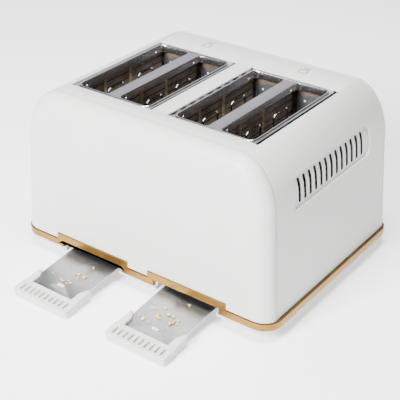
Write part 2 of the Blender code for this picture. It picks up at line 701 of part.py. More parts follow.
def helix(name, x, low, high):
    """Wire spring as a curve with closed ends, turned into a mesh."""
    curve = bpy.data.curves.new(name, "CURVE")
    curve.dimensions = "3D"
    curve.bevel_depth = SPRING_WIRE
    curve.bevel_resolution = 1
    curve.use_fill_caps = True
    curve.resolution_u = 1
    spline = curve.splines.new("POLY")
    count = SPRING_TURNS * SPRING_STEPS + 1
    spline.points.add(count - 1)
    margin = SPRING_WIRE + GAP
    for index in range(count):
        angle = 2 * math.pi * index / SPRING_STEPS
        z = low + margin + (high - low - 2 * margin) * index / (count - 1)
        across = SPRING_RADIUS * math.cos(angle)
        along = SPRING_RADIUS * math.sin(angle)
        spline.points[index].co = (x + across, ROD_Y + along, z, 1.0)
    return add_object(name, curve, "galvanised_steel")


def bread_lift(side_name, side):
    lift = bpy.data.objects.new(f"{side_name}_lift", None)
    lift.parent = HOUSING
    PARTS.objects.link(lift)
    for number, middle in enumerate(slot_middles(side), start=1):
        bread_shelf(f"{side_name}_slot{number}_shelf", middle, lift)
    lift_carriage(side_name, side, lift)
    x = side * PAIR_X
    cylinder(f"{side_name}_guide_rod", ROD_RADIUS, (x, ROD_Y, FLOOR_TOP + GAP), (x, ROD_Y, ROD_TOP),
             "brushed_steel", segments=16)
    helix(f"{side_name}_return_spring", x + SPRING_OFFSET, SHELF_TOP + 0.002, ROD_TOP + GAP)
    magnet = boxes(f"{side_name}_electromagnet", [((x - 0.0240, ROD_Y - 0.0090, FLOOR_TOP + GAP),
                                                  (x - 0.0080, ROD_Y + 0.0070, 0.0340))], "magnet_iron")
    round_edges(magnet, 0.0012, 1)


# ---------------------------------------------------------------- controls

def browning_dial(side_name, x):
    place = (x, FRONT_FACE_Y, DIAL_Z)
    dial = cylinder(f"{side_name}_browning_dial", DIAL_RADIUS, (0.0, -DIAL_DEPTH, 0.0), (0.0, -0.0010, 0.0),
                    "white_plastic", axis="Y", location=place)
    round_edges(dial, 0.0016, 2, 60)
    shaft = cylinder(f"{side_name}_dial_shaft", SHAFT_RADIUS, (0.0, -0.0030, 0.0), (0.0, 0.0140, 0.0),
                     axis="Y", segments=16, location=place)
    combine(dial, shaft, "UNION")
    pointer = ((-0.0008, -DIAL_DEPTH - 0.0030, 0.0060), (0.0008, -DIAL_DEPTH + 0.0008, 0.0150))
    combine(dial, boxes(f"{side_name}_dial_pointer", [pointer], location=place))


def push_button(side_name, label, x, height):
    place = (x, FRONT_FACE_Y, height)
    outline = rounded_rectangle(BUTTON_SIZE[0], BUTTON_SIZE[1], BUTTON_RADIUS, steps=4)
    button = prism(f"{side_name}_{label}_button", [outline], -BUTTON_PROUD, 0.0055, "white_plastic", axis="Y",
                   location=place)
    stem = ((-STEM_WIDTH / 2, 0.0040, -STEM_WIDTH / 2), (STEM_WIDTH / 2, STEM_END, STEM_WIDTH / 2))
    combine(button, boxes(f"{side_name}_{label}_stem", [stem], location=place), "UNION")


def controls(side_name, side):
    x = side * CONTROL_X
    browning_dial(side_name, x)
    for label, height in zip(("cancel", "reheat", "defrost"), BUTTON_Z):
        push_button(side_name, label, x, height)
    boxes(f"{side_name}_control_board", [((x - 0.020, BOARD_Y, 0.036), (x + 0.020, BOARD_Y + 0.0016, 0.149))],
          "circuit_board")


SIDES = (("left", -1), ("right", 1))
housing_shells()
trim_band()
base_plate()
feet()
cord_gland()
for side_label, side_sign in SIDES:
    crumb_tray(side_label, side_sign)
    chamber(side_label, side_sign)
    bread_lift(side_label, side_sign)
    controls(side_label, side_sign)
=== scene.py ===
import json
import math
import random

import bmesh
import bpy
from mathutils import Matrix, Vector

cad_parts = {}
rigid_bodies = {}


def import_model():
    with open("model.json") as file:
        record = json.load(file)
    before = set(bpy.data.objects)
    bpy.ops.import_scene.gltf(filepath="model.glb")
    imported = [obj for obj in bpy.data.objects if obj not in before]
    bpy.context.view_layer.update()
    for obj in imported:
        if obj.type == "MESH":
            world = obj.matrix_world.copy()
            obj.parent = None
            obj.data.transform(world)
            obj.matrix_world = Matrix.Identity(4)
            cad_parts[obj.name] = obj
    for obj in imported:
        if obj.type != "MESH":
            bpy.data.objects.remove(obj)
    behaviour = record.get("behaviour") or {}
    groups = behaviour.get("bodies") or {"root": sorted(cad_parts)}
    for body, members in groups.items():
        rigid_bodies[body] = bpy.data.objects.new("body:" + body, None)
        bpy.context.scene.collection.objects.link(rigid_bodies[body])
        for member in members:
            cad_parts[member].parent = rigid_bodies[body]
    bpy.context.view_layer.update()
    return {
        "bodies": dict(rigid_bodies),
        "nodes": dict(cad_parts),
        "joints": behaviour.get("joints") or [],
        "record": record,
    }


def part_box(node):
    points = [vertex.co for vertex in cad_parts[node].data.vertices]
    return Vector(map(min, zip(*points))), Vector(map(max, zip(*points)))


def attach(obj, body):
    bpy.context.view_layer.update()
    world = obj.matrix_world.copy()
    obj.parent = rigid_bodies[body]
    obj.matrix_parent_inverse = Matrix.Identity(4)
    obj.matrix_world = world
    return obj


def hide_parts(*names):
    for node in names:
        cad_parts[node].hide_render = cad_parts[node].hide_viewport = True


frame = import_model()

# ---- places taken from the frame
BAND_LOW, BAND_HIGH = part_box("trim_band")
COVER_LOW, COVER_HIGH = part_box("wrap_cover")
_, REAR_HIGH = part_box("rear_cap")
FRONT_LOW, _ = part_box("front_cap")
MIDDLE_Y = (BAND_LOW.y + BAND_HIGH.y) / 2
BAND_WIDTH = BAND_HIGH.x - BAND_LOW.x
BAND_DEPTH = BAND_HIGH.y - BAND_LOW.y
REAR_EDGE = MIDDLE_Y + BAND_DEPTH / 2
BAND_Z = BAND_LOW.z
STEP_Z = BAND_HIGH.z
BODY_Z = COVER_LOW.z
HEM_Z = BODY_Z + 0.0006
SEAM_PLAY = 0.0004
TOP_Z = COVER_HIGH.z
HALF_WIDTH = COVER_HIGH.x

# Sizes of the housing that a box doesn't give, in metres
SKIN = 0.0001
HAIR = 0.00002
SHELL = 0.0020
GAP = 0.0003
SHOULDER_X = 0.1114
SHOULDER_RX = 0.0434
SHOULDER_RZ = 0.0599
END_DEPTH = 0.0150
END_INSET = 0.0190
REAR_LEAN = 0.028
BAND_HEIGHT = 0.0075
BAND_RADIUS = 0.0210
BAND_THICKNESS = 0.0040
BAND_ROUND = 0.0007
STEP_WIDTH = 0.0980
MOUTH_WIDTH = 0.0830
MOUTH_Z = BAND_Z + 0.0073
PAIR_X = 0.0632
WINDOW_WIDTH = 0.1043
WINDOW_LENGTH = 0.1507
WINDOW_Y = MIDDLE_Y + 0.0078
WINDOW_PLAY = 0.0024
SLOT_PITCH = 0.0530
SLOT_WIDTH = 0.0380
SLOT_LENGTH = 0.1400
SLOT_RADIUS = 0.0060
SIDES = (("left", -1), ("right", 1))
CAMERA_LENS = 91.78
CAMERA_PLACE = (-0.5738, 0.7913, 0.6207)
CAMERA_AZIMUTH = math.radians(36.42)
CAMERA_ELEVATION = math.radians(30.15)


# ---- materials

BUMP_DISTANCE = 0.0002


def node(tree, kind, **values):
    made = tree.nodes.new(kind)
    for key, value in values.items():
        if hasattr(made, key):
            setattr(made, key, value)
        else:
            made.inputs[key.replace("_", " ")].default_value = value
    return made


def surface(name, colour, roughness, metallic=0.0, grain=400.0, stretch=(1.0, 1.0, 1.0), bump=0.05,
            vary=0.04, rough_vary=0.08, coat=0.0, cloud=30.0, **extra):
    """Principled surface: fine grain drives bump and roughness, a slow cloud shifts the colour."""
    material = bpy.data.materials.new(name)
    material.use_nodes = True
    tree = material.node_tree
    shader = tree.nodes["Principled BSDF"]
    shader.inputs["Metallic"].default_value = metallic
    shader.inputs["Coat Weight"].default_value = coat
    for key, value in extra.items():
        shader.inputs[key.replace("_", " ")].default_value = value
    place = node(tree, "ShaderNodeTexCoord")
    scale = node(tree, "ShaderNodeMapping")
    scale.inputs["Scale"].default_value = stretch
    tree.links.new(place.outputs["Object"], scale.inputs["Vector"])
    fine = node(tree, "ShaderNodeTexNoise", Scale=grain, Detail=4.0, Roughness=0.6)
    slow = node(tree, "ShaderNodeTexNoise", Scale=cloud, Detail=3.0)
    tree.links.new(scale.outputs["Vector"], fine.inputs["Vector"])
    tree.links.new(place.outputs["Object"], slow.inputs["Vector"])
    ramp = node(tree, "ShaderNodeValToRGB")
    ramp.color_ramp.elements[0].position = 0.3
    ramp.color_ramp.elements[1].position = 0.7
    ramp.color_ramp.elements[0].color = (*[c * (1 - vary) for c in colour], 1.0)
    ramp.color_ramp.elements[1].color = (*[min(1.0, c * (1 + vary)) for c in colour], 1.0)
    tree.links.new(slow.outputs["Fac"], ramp.inputs["Fac"])
    tree.links.new(ramp.outputs["Color"], shader.inputs["Base Color"])
    spread = node(tree, "ShaderNodeMapRange")
    spread.inputs["To Min"].default_value = max(0.02, roughness - rough_vary)
    spread.inputs["To Max"].default_value = min(1.0, roughness + rough_vary)
    tree.links.new(fine.outputs["Fac"], spread.inputs["Value"])
    tree.links.new(spread.outputs["Result"], shader.inputs["Roughness"])
    relief = node(tree, "ShaderNodeBump", Strength=bump, Distance=BUMP_DISTANCE)
    tree.links.new(fine.outputs["Fac"], relief.inputs["Height"])
    tree.links.new(relief.outputs["Normal"], shader.inputs["Normal"])
    return material


SHELL_WHITE = surface("satin_white_coat", (0.56, 0.556, 0.54), 0.42, grain=900.0, vary=0.012,
                      rough_vary=0.05, coat=0.12, Coat_Roughness=0.35)
PLASTIC_WHITE = surface("moulded_white_plastic", (0.545, 0.537, 0.520), 0.48, grain=1400.0, bump=0.08,
                        vary=0.015, rough_vary=0.06)
GOLD = surface("rose_gold_plate", (0.265, 0.138, 0.030), 0.32, 1.0, grain=700.0, stretch=(1.0, 1.0, 5.0),
               bump=0.06, vary=0.05)
# Darker gold for the band's upward faces: painted shade and dark reflection on the ledge.
GOLD_SHADE_TOP = surface("rose_gold_painted_shade", (0.20, 0.125, 0.045), 0.45, 0.9, grain=700.0, bump=0.06, vary=0.08)
FRAME_STEEL = surface("polished_steel", (0.60, 0.60, 0.62), 0.24, 1.0, grain=260.0, bump=0.02, vary=0.05,
                      rough_vary=0.05)
BRIDGE_STEEL = surface("brushed_bridge", (0.40, 0.392, 0.435), 0.42, 1.0, grain=900.0,
                       stretch=(1.0, 0.12, 1.0), bump=0.25, vary=0.07, rough_vary=0.12)
GALVANISED = surface("galvanised_sheet", (0.36, 0.375, 0.395), 0.42, 0.8, grain=140.0, bump=0.12, vary=0.18,
                     rough_vary=0.12, cloud=90.0)
TRAY_STEEL = surface("tray_sheet", (0.42, 0.432, 0.445), 0.32, 1.0, grain=320.0, bump=0.10, vary=0.06,
                     rough_vary=0.10, cloud=120.0)
CHAMBER_STEEL = surface("chamber_sheet", (0.155, 0.16, 0.175), 0.42, 0.8, grain=140.0, bump=0.12, vary=0.18,
                        rough_vary=0.12, cloud=90.0)
WIRE = surface("bright_wire", (0.13, 0.115, 0.10), 0.22, 1.0, grain=600.0, vary=0.10)
MICA = surface("mica_board", (0.30, 0.235, 0.18), 0.42, 0.1, grain=220.0, bump=0.15, vary=0.30,
               rough_vary=0.15, cloud=60.0)
# Darkened copy of the mica colour: painted shade under the slot collars.
SHADED_MICA = surface("shaded_mica", (0.085, 0.062, 0.045), 0.5, grain=220.0, bump=0.12, vary=0.3,
                    cloud=60.0)
RIBBON = surface("resistance_ribbon", (0.10, 0.085, 0.075), 0.45, 0.8, grain=500.0, bump=0.08, vary=0.2)
RUBBER = surface("black_rubber", (0.022, 0.022, 0.024), 0.75, grain=900.0, bump=0.2, vary=0.1)
BOARD = surface("circuit_laminate", (0.011, 0.040, 0.020), 0.40, grain=300.0, vary=0.15)
IRON = surface("lacquered_iron", (0.16, 0.13, 0.11), 0.45, 0.6, bump=0.1, vary=0.15)
PRINT = surface("grey_print", (0.025, 0.025, 0.027), 0.7, grain=900.0, bump=0.03, vary=0.05)
# Near-white: the rivets' own bright steel, and a painted highlight on the guide-wire tips.
RIVET_STEEL_AND_TIP_HIGHLIGHT = surface("polished_rivet_and_tip_highlight", (0.92, 0.92, 0.92), 0.25, 0.6, grain=500.0, bump=0.03, vary=0.03)
BRASS = surface("brass_eyelet", (0.62, 0.46, 0.24), 0.30, 0.9, grain=500.0, bump=0.03, vary=0.08)
CLIP = surface("pale_mica_clip", (0.46, 0.37, 0.25), 0.55, bump=0.1, vary=0.12)
CRUST = surface("toast_crumb", (0.58, 0.40, 0.19), 0.85, grain=1500.0, bump=0.5, vary=0.45, cloud=420.0)
# Near-black painted shade for hollows: inside the cover, in the vent slits and under the slot frames.
PAINTED_SHADE = surface("painted_shade_inside", (0.045, 0.045, 0.047), 0.6, grain=500.0, vary=0.1)


# ---- mesh tools

def in_scene(name, data):
    obj = bpy.data.objects.new(name, data)
    bpy.context.scene.collection.objects.link(obj)
    return obj


def to_object(name, bm):
    """Mesh object from a filled bmesh, with its normals turned outwards."""
    bmesh.ops.recalc_face_normals(bm, faces=bm.faces)
    mesh = bpy.data.meshes.new(name)
    bm.to_mesh(mesh)
    bm.free()
    return in_scene(name, mesh)


def drop(obj):
    bpy.data.objects.remove(obj, do_unlink=True)


def evaluated_mesh(obj):
    graph = bpy.context.evaluated_depsgraph_get()
    return bpy.data.meshes.new_from_object(obj.evaluated_get(graph))


def bake(obj):
    """Replace the mesh by its evaluated one and clear the modifiers."""
    mesh = evaluated_mesh(obj)
    obj.modifiers.clear()
    obj.data = mesh
    return obj


def combine(target, other, operation="DIFFERENCE"):
    """Boolean of two meshes, baked; the other object goes."""
    modifier = target.modifiers.new("cut", "BOOLEAN")
    modifier.operation = operation
    modifier.solver = "EXACT"
    modifier.object = other
    bake(target)
    drop(other)
    return target


def bevel(obj, width, segments=2, angle=35.0):
    modifier = obj.modifiers.new("rounding", "BEVEL")
    modifier.width = width
    modifier.segments = segments
    modifier.limit_method = "ANGLE"
    modifier.angle_limit = math.radians(angle)
    return bake(obj)


def smooth(obj, angle=35.0):
    obj.data.shade_smooth()
    obj.data.set_sharp_from_angle(angle=math.radians(angle))
    return obj


def even_faces(obj):
    """Normals that follow the large faces, so that long flat faces shade flat."""
    modifier = obj.modifiers.new("weights", "WEIGHTED_NORMAL")
    modifier.keep_sharp = True
    return bake(obj)


def finish_piece(obj, material, body, *nodes):
    """Paint the piece, make it ride on its body and let it stand for the CAD nodes."""
    obj.data.materials.clear()
    obj.data.materials.append(material)
    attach(obj, body)
    if nodes:
        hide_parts(*nodes)
    return obj


def add_box(bm, low, high):
    low = Vector(low)
    high = Vector(high)
    place = Matrix.Translation((low + high) / 2) @ Matrix.Diagonal((*(high - low), 1.0))
    bmesh.ops.create_cube(bm, size=1.0, matrix=place)


def boxes(name, corners):
    bm = bmesh.new()
    for low, high in corners:
        add_box(bm, low, high)
    return to_object(name, bm)


def rounded_rectangle(width, height, radius, steps=8, middle=(0.0, 0.0)):
    points = []
    for quarter, (side_x, side_y) in enumerate(((1, 1), (-1, 1), (-1, -1), (1, -1))):
        corner_x = middle[0] + side_x * (width / 2 - radius)
        corner_y = middle[1] + side_y * (height / 2 - radius)
        for step in range(steps + 1):
            angle = math.pi / 2 * (quarter + step / steps)
            points.append((corner_x + radius * math.cos(angle), corner_y + radius * math.sin(angle)))
    return points


AXES = {"X": lambda a, b, c: (c, a, b), "Y": lambda a, b, c: (a, c, b), "Z": lambda a, b, c: (a, b, c)}


def add_prism(bm, outline, low, high, axis="Z"):
    place = AXES[axis]
    face = bm.faces.new([bm.verts.new(place(a, b, low)) for a, b in outline])
    grown = bmesh.ops.extrude_face_region(bm, geom=[face])
    top = [item for item in grown["geom"] if isinstance(item, bmesh.types.BMVert)]
    bmesh.ops.translate(bm, verts=top, vec=Vector(place(0, 0, high)) - Vector(place(0, 0, low)))


def prism(name, outlines, low, high, axis="Z"):
    bm = bmesh.new()
    for outline in outlines:
        add_prism(bm, outline, low, high, axis)
    return to_object(name, bm)


def join(pieces, name):
    """One mesh object from several, keeping each one's place."""
    bm = bmesh.new()
    for piece in pieces:
        bm.from_mesh(piece.data)
        drop(piece)
    return to_object(name, bm)


def domes(name, centres, radius, height, axis="Z"):
    """Low rivet heads as flattened half spheres on one side of their centres."""
    turn = {"Z": Matrix.Identity(4), "Y": Matrix.Rotation(-math.pi / 2, 4, "X"),
            "X": Matrix.Rotation(math.pi / 2, 4, "Y")}[axis]
    bm = bmesh.new()
    for centre in centres:
        place = Matrix.Translation(centre) @ turn @ Matrix.Diagonal((radius, radius, height, 1.0))
        bmesh.ops.create_icosphere(bm, subdivisions=2, radius=1.0, matrix=place)
    return to_object(name, bm)


WALL_PLAY = 0.0002


def turned(name, profile, segments, place, flutes=0, depth=0.0):
    """A profile of (radius, y) points turned about the Y axis, with flutes in the outer wall if asked."""
    bm = bmesh.new()
    widest = max(radius for radius, _ in profile)
    rings = []
    for radius, y in profile:
        ring = []
        for step in range(segments):
            angle = 2 * math.pi * step / segments
            fluted = flutes and radius > widest - WALL_PLAY
            cut = depth * (0.5 + 0.5 * math.cos(flutes * angle)) if fluted else 0.0
            ring.append(bm.verts.new(((radius - cut) * math.cos(angle) + place[0], y + place[1],
                                      (radius - cut) * math.sin(angle) + place[2])))
        rings.append(ring)
    for near, far in zip(rings, rings[1:]):
        for index in range(segments):
            after = (index + 1) % segments
            bm.faces.new((near[index], near[after], far[after], far[index]))
    bm.faces.new(rings[0])
    bm.faces.new(rings[-1])
    return to_object(name, bm)


def tubes(name, paths, radius, sides=8, closed=False):
    """Round wires along point lists, as one mesh."""
    curve = bpy.data.curves.new(name, "CURVE")
    curve.dimensions = "3D"
    curve.bevel_depth = radius
    curve.bevel_resolution = (sides - 4) // 2
    curve.use_fill_caps = True
    for path in paths:
        spline = curve.splines.new("POLY")
        spline.points.add(len(path) - 1)
        for point, co in zip(spline.points, path):
            point.co = (*co, 1.0)
        spline.use_cyclic_u = closed
    obj = in_scene(name, curve)
    mesh = evaluated_mesh(obj)
    drop(obj)
    return in_scene(name, mesh)


# ---- housing

SHOULDER_STEPS = 40
ROUND_STEPS = 12
FAR = 0.2
EDGE_ROUND = 0.0006
LIFT_TRAVEL = 0.0680
LEVER_SLOT_WIDTH = 0.0064
LEVER_SLOT_SPARE = 0.0120
DIAL_BORE = 0.0070
BUTTON_LABELS = ("cancel", "reheat", "defrost")


def arch_outline(inset, bottom):
    """Cross-section of the housing: straight sides, round shoulders and a flat top."""
    right = [(HALF_WIDTH - inset, bottom)]
    shoulder_z = TOP_Z - SHOULDER_RZ
    for step in range(SHOULDER_STEPS + 1):
        angle = math.pi / 2 * step / SHOULDER_STEPS
        right.append((SHOULDER_X + (SHOULDER_RX - inset) * math.cos(angle),
                      shoulder_z + (SHOULDER_RZ - inset) * math.sin(angle)))
    return right + [(-x, z) for x, z in reversed(right)]


def arch_loft(name, rings, bottom):
    """Closed skin over cross-sections given as (y, lean, inset)."""
    bm = bmesh.new()
    loops = []
    for y, lean, inset in rings:
        loops.append([bm.verts.new((x, y - lean * (z - BODY_Z), z)) for x, z in arch_outline(inset, bottom)])
    for near, far in zip(loops, loops[1:]):
        for index in range(len(near)):
            after = (index + 1) % len(near)
            bm.faces.new((near[index], near[after], far[after], far[index]))
    bm.faces.new(loops[0])
    bm.faces.new(loops[-1])
    return to_object(name, bm)


def cap_rings(face_y, lean, wall, overrun):
    """Cross-sections of an end cap, with a quarter-round edge towards its face."""
    side = 1.0 if face_y > MIDDLE_Y else -1.0
    rings = [(face_y - side * (END_DEPTH + overrun), lean, wall)] if overrun else []
    for step in range(ROUND_STEPS + 1):
        angle = math.pi / 2 * (1 - step / ROUND_STEPS)
        rings.append((face_y - side * (wall + (END_DEPTH - wall) * (1 - math.cos(angle))), lean,
                      wall + (END_INSET - wall) * (1 - math.sin(angle))))
    return rings


def end_cap(name, face_y, lean):
    """Hollow end cap, open towards the middle of the housing."""
    cap = arch_loft(name, cap_rings(face_y, lean, SKIN, 0.0), HEM_Z)
    hollow = arch_loft("hollow", cap_rings(face_y, lean, SHELL, 0.004), BODY_Z - 0.01)
    return combine(cap, hollow)


def middle_of(low, high):
    return (low.x + high.x) / 2, (low.z + high.z) / 2


def tray_middles():
    """World x of the two crumb trays, from their boxes."""
    return {side: middle_of(*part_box(f"{side}_tray_handle"))[0] for side, _ in SIDES}


TRAY_X = tray_middles()


def rear_cap():
    """Rear shell with a notch over each tray mouth."""
    cap = end_cap("rear_cap_shell", REAR_HIGH.y - SKIN, REAR_LEAN)
    half = STEP_WIDTH / 2 + GAP
    notches = [((x - half, REAR_EDGE - 0.014, BODY_Z - 0.02), (x + half, REAR_EDGE + 0.02, STEP_Z + GAP))
               for x in TRAY_X.values()]
    combine(cap, boxes("notches", notches))
    bevel(cap, EDGE_ROUND, 2, 50)
    smooth(cap, 40)
    finish_piece(cap, SHELL_WHITE, "housing", "rear_cap")


def front_cap():
    """Front shell with openings for the levers, buttons and dials."""
    cap = end_cap("front_cap_shell", FRONT_LOW.y + SKIN, 0.0)
    bm = bmesh.new()
    for side, _ in SIDES:
        x, z = middle_of(*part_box(f"{side}_lever_knob"))
        height = LIFT_TRAVEL + LEVER_SLOT_SPARE
        outlines = [rounded_rectangle(LEVER_SLOT_WIDTH, height, 0.0031, 6, (x, z - LIFT_TRAVEL / 2))]
        for label in BUTTON_LABELS:
            low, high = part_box(f"{side}_{label}_button")
            outlines.append(rounded_rectangle(high.x - low.x + 2 * GAP, high.z - low.z + 2 * GAP, 0.0033, 6,
                                              middle_of(low, high)))
        middle = middle_of(*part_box(f"{side}_browning_dial"))
        outlines.append(rounded_rectangle(DIAL_BORE, DIAL_BORE, 0.00349, 6, middle))
        for outline in outlines:
            add_prism(bm, outline, -FAR, -FAR / 2, "Y")
    combine(cap, to_object("control_openings", bm))
    bevel(cap, EDGE_ROUND, 2, 50)
    smooth(cap, 40)
    finish_piece(cap, SHELL_WHITE, "housing", "front_cap")


VENT_Y = MIDDLE_Y - 0.0015
VENT_Z = BAND_Z - 0.004 + 0.1313
VENT_WIDTH = 0.1490
VENT_HEIGHT = 0.0340
VENT_DEPTH = 0.0031
VENT_WALL = 0.0012
VENT_SLANT = 0.04
SLITS = 13
SLIT_PITCH = 0.0101
SLIT_WIDTH = 0.0042
SLIT_HEIGHT = 0.0258
SLIT_CURL = 0.0004
RECESS_RADIUS = 0.0090
RECESS_ROUND = 0.0013
SHADE_DEPTH = 0.0014
FLOOR_PLAY = 0.0006


def vent_outline(width, height, radius):
    """Slanting rounded rectangle on the side of the housing, as (y, z) points."""
    return [(VENT_Y + y + VENT_SLANT * z, VENT_Z + z) for y, z in rounded_rectangle(width, height, radius, 8)]


def slit_outline(index):
    """A gently S-curved slit with round ends."""
    middle = VENT_Y + (index - (SLITS - 1) / 2) * SLIT_PITCH
    straight = SLIT_HEIGHT / 2 - SLIT_WIDTH / 2
    edge = [(SLIT_WIDTH / 2, -straight + 2 * straight * k / 6) for k in range(7)]
    cap = [(SLIT_WIDTH / 2 * math.cos(a), straight + SLIT_WIDTH / 2 * math.sin(a))
           for a in (math.pi * k / 6 for k in range(1, 6))]
    loop = edge + cap
    loop = loop + [(-y, -z) for y, z in loop]
    return [(middle + y + VENT_SLANT * z - SLIT_CURL * math.sin(math.pi * z / SLIT_HEIGHT * 2), VENT_Z + z)
            for y, z in loop]


def wrap_rings(wall, overrun):
    rear = REAR_HIGH.y - END_DEPTH - GAP - SEAM_PLAY + overrun
    front = FRONT_LOW.y + END_DEPTH + GAP + SEAM_PLAY - overrun
    return [(rear, REAR_LEAN, wall), (front, 0.0, wall)]


def windows(low, high):
    """Cutters for both top windows, which leave an open gap along one long side of each frame."""
    outlines = [rounded_rectangle(WINDOW_WIDTH + WINDOW_PLAY, WINDOW_LENGTH, 0.0004, 3,
                                  (side * PAIR_X - WINDOW_PLAY / 2, WINDOW_Y)) for _, side in SIDES]
    return prism("windows", outlines, low, high)


def depth_in_shell(point):
    """How far a point lies under the outer surface of the arch."""
    across = abs(point.x) - SHOULDER_X
    up = point.z - (TOP_Z - SHOULDER_RZ)
    if across <= 0.0:
        return TOP_Z - point.z
    if up <= 0.0:
        flare = (HALF_WIDTH - SHOULDER_X - SHOULDER_RX) * up / (BODY_Z - TOP_Z + SHOULDER_RZ)
        return SHOULDER_X + SHOULDER_RX + flare - abs(point.x)
    return math.hypot(across, up) * (1.0 / math.hypot(across / SHOULDER_RX, up / SHOULDER_RZ) - 1.0)


def painted_shade_inside(cover):
    """Painted shade: the inner side and the slit walls get a near-black bare-metal colour, darkened so that
    the slits read as shadow; the white coat covers the outside and the recesses.
    """
    cover.data.materials.append(PAINTED_SHADE)
    for face in cover.data.polygons:
        depth = depth_in_shell(face.center)
        sideways = abs(face.normal.x) > 0.7
        on_floor = sideways and face.normal.x * face.center.x > 0.0 and depth < VENT_DEPTH + FLOOR_PLAY
        in_recess = abs(face.center.x) > SHOULDER_X and depth < VENT_DEPTH - SKIN
        in_recess = in_recess and abs(face.normal.x) < 0.7
        face.material_index = int(depth > SHADE_DEPTH and not on_floor and not in_recess)


def wrap_cover():
    """Arched middle shell with two top windows and a recessed row of slits in each side."""
    cover = arch_loft("wrap_cover_shell", wrap_rings(SKIN, 0.0), HEM_Z)
    hollow = arch_loft("hollow", wrap_rings(SHELL, 0.01), BODY_Z - 0.01)
    pad = prism("pad", [vent_outline(VENT_WIDTH + 0.005, VENT_HEIGHT + 0.005, 0.0105)], -FAR, FAR, "X")
    combine(pad, arch_loft("pad_inside", wrap_rings(VENT_WALL + VENT_DEPTH, 0.01), BODY_Z - 0.02))
    combine(hollow, pad)
    combine(cover, hollow)
    recess = prism("recess", [vent_outline(VENT_WIDTH, VENT_HEIGHT, RECESS_RADIUS)], -FAR, FAR, "X")
    combine(recess, arch_loft("recess_floor", wrap_rings(VENT_DEPTH, 0.02), BODY_Z - 0.03))
    combine(cover, recess)
    bevel(cover, RECESS_ROUND, 3, 50)
    combine(cover, prism("slits", [slit_outline(index) for index in range(SLITS)], -FAR, FAR, "X"))
    combine(cover, windows(TOP_Z - 0.01, TOP_Z + 0.01))
    bevel(cover, 0.0003, 2, 60)
    smooth(cover, 40)
    finish_piece(cover, SHELL_WHITE, "housing", "wrap_cover")
    painted_shade_inside(cover)


def band():
    """Ring with a raised frame round each tray mouth; its upward faces carry a darker gold as painted shade.
    """
    def ring(inset, low, high):
        outline = rounded_rectangle(BAND_WIDTH - 2 * inset, BAND_DEPTH - 2 * inset, BAND_RADIUS - inset, 14,
                                    (0.0, MIDDLE_Y))
        return prism("ring", [outline], low, high)

    strip = ring(0.0, BAND_Z, BAND_Z + BAND_HEIGHT)
    strip.name = "trim_band_strip"
    half = STEP_WIDTH / 2
    steps = [((x - half, REAR_EDGE - 0.012, BAND_Z + 0.003), (x + half, REAR_EDGE, STEP_Z))
             for x in TRAY_X.values()]
    combine(strip, boxes("steps", steps), "UNION")
    combine(strip, ring(BAND_THICKNESS, BAND_Z - 0.01, STEP_Z + 0.01))
    half = MOUTH_WIDTH / 2
    mouths = [((x - half, REAR_EDGE - 0.02, BAND_Z - 0.01), (x + half, REAR_EDGE + 0.02, MOUTH_Z))
              for x in TRAY_X.values()]
    combine(strip, boxes("mouths", mouths))
    bevel(strip, BAND_ROUND, 3, 50)
    even_faces(smooth(strip, 40))
    finish_piece(strip, GOLD, "housing", "trim_band")
    # Painted shade: the upward faces of the band get the darker gold.
    strip.data.materials.append(GOLD_SHADE_TOP)
    for face in strip.data.polygons:
        if face.normal.z > 0.8:
            face.material_index = 1


# ---- crumb trays

TRAY_SLOPE = math.radians(5.5)
TRAY_UNDERSIDE = BAND_Z - 0.0030
TRAY_WIDTH = 0.0650
TRAY_LENGTH = 0.1750
TRAY_LIP = 0.0012
SHEET = 0.0008
HANDLE_WIDTH = 0.0745
HANDLE_DEPTH = 0.0190
HANDLE_WING = 0.0210
HANDLE_LOW = -0.0044
HANDLE_HIGH = 0.0042
GRIP_SLOTS = 10
GRIP_SLOT_WIDTH = 0.0027
GRIP_SLOT_LENGTH = 0.0103
GRIP_SLOT_DEPTH = 0.0046
TRAY_REACH = 0.0815
TRAY_OUT = TRAY_REACH / math.cos(TRAY_SLOPE)
HEEL = TRAY_OUT - HANDLE_DEPTH
WING = HEEL - HANDLE_WING
ROOT = HEEL + 0.0030
CLIP_Y = HEEL - 0.0145


def on_slide(obj, side):
    """Move a mesh from the tray's own frame (x across, y outwards, z up) to its place."""
    obj.data.transform(Matrix.Translation((TRAY_X[side], REAR_EDGE, TRAY_UNDERSIDE))
                       @ Matrix.Rotation(-TRAY_SLOPE, 4, "X"))
    return obj


def arc(middle_x, middle_y, radius, start, end, steps=6):
    """Points on a round corner, angles in quarter turns."""
    turns = [start + (end - start) * k / steps for k in range(steps + 1)]
    return [(middle_x + radius * math.cos(math.pi / 2 * t), middle_y + radius * math.sin(math.pi / 2 * t))
            for t in turns]


def handle_half(grip, arm, corner):
    """Right half of the handle's plan: wing with a tapered tip, a small outer step and a round front."""
    inside = [(grip - arm, HEEL), (grip - arm, WING + 0.0090), (grip - 0.0045, WING + 0.0005)]
    outside = [(grip - 0.0022, WING), (grip - 0.0014, WING + 0.0010), (grip - 0.0014, HEEL - 0.0012),
               (grip, HEEL + 0.0006)]
    return inside + outside + arc(grip - corner, TRAY_OUT - corner, corner, 0, 1)


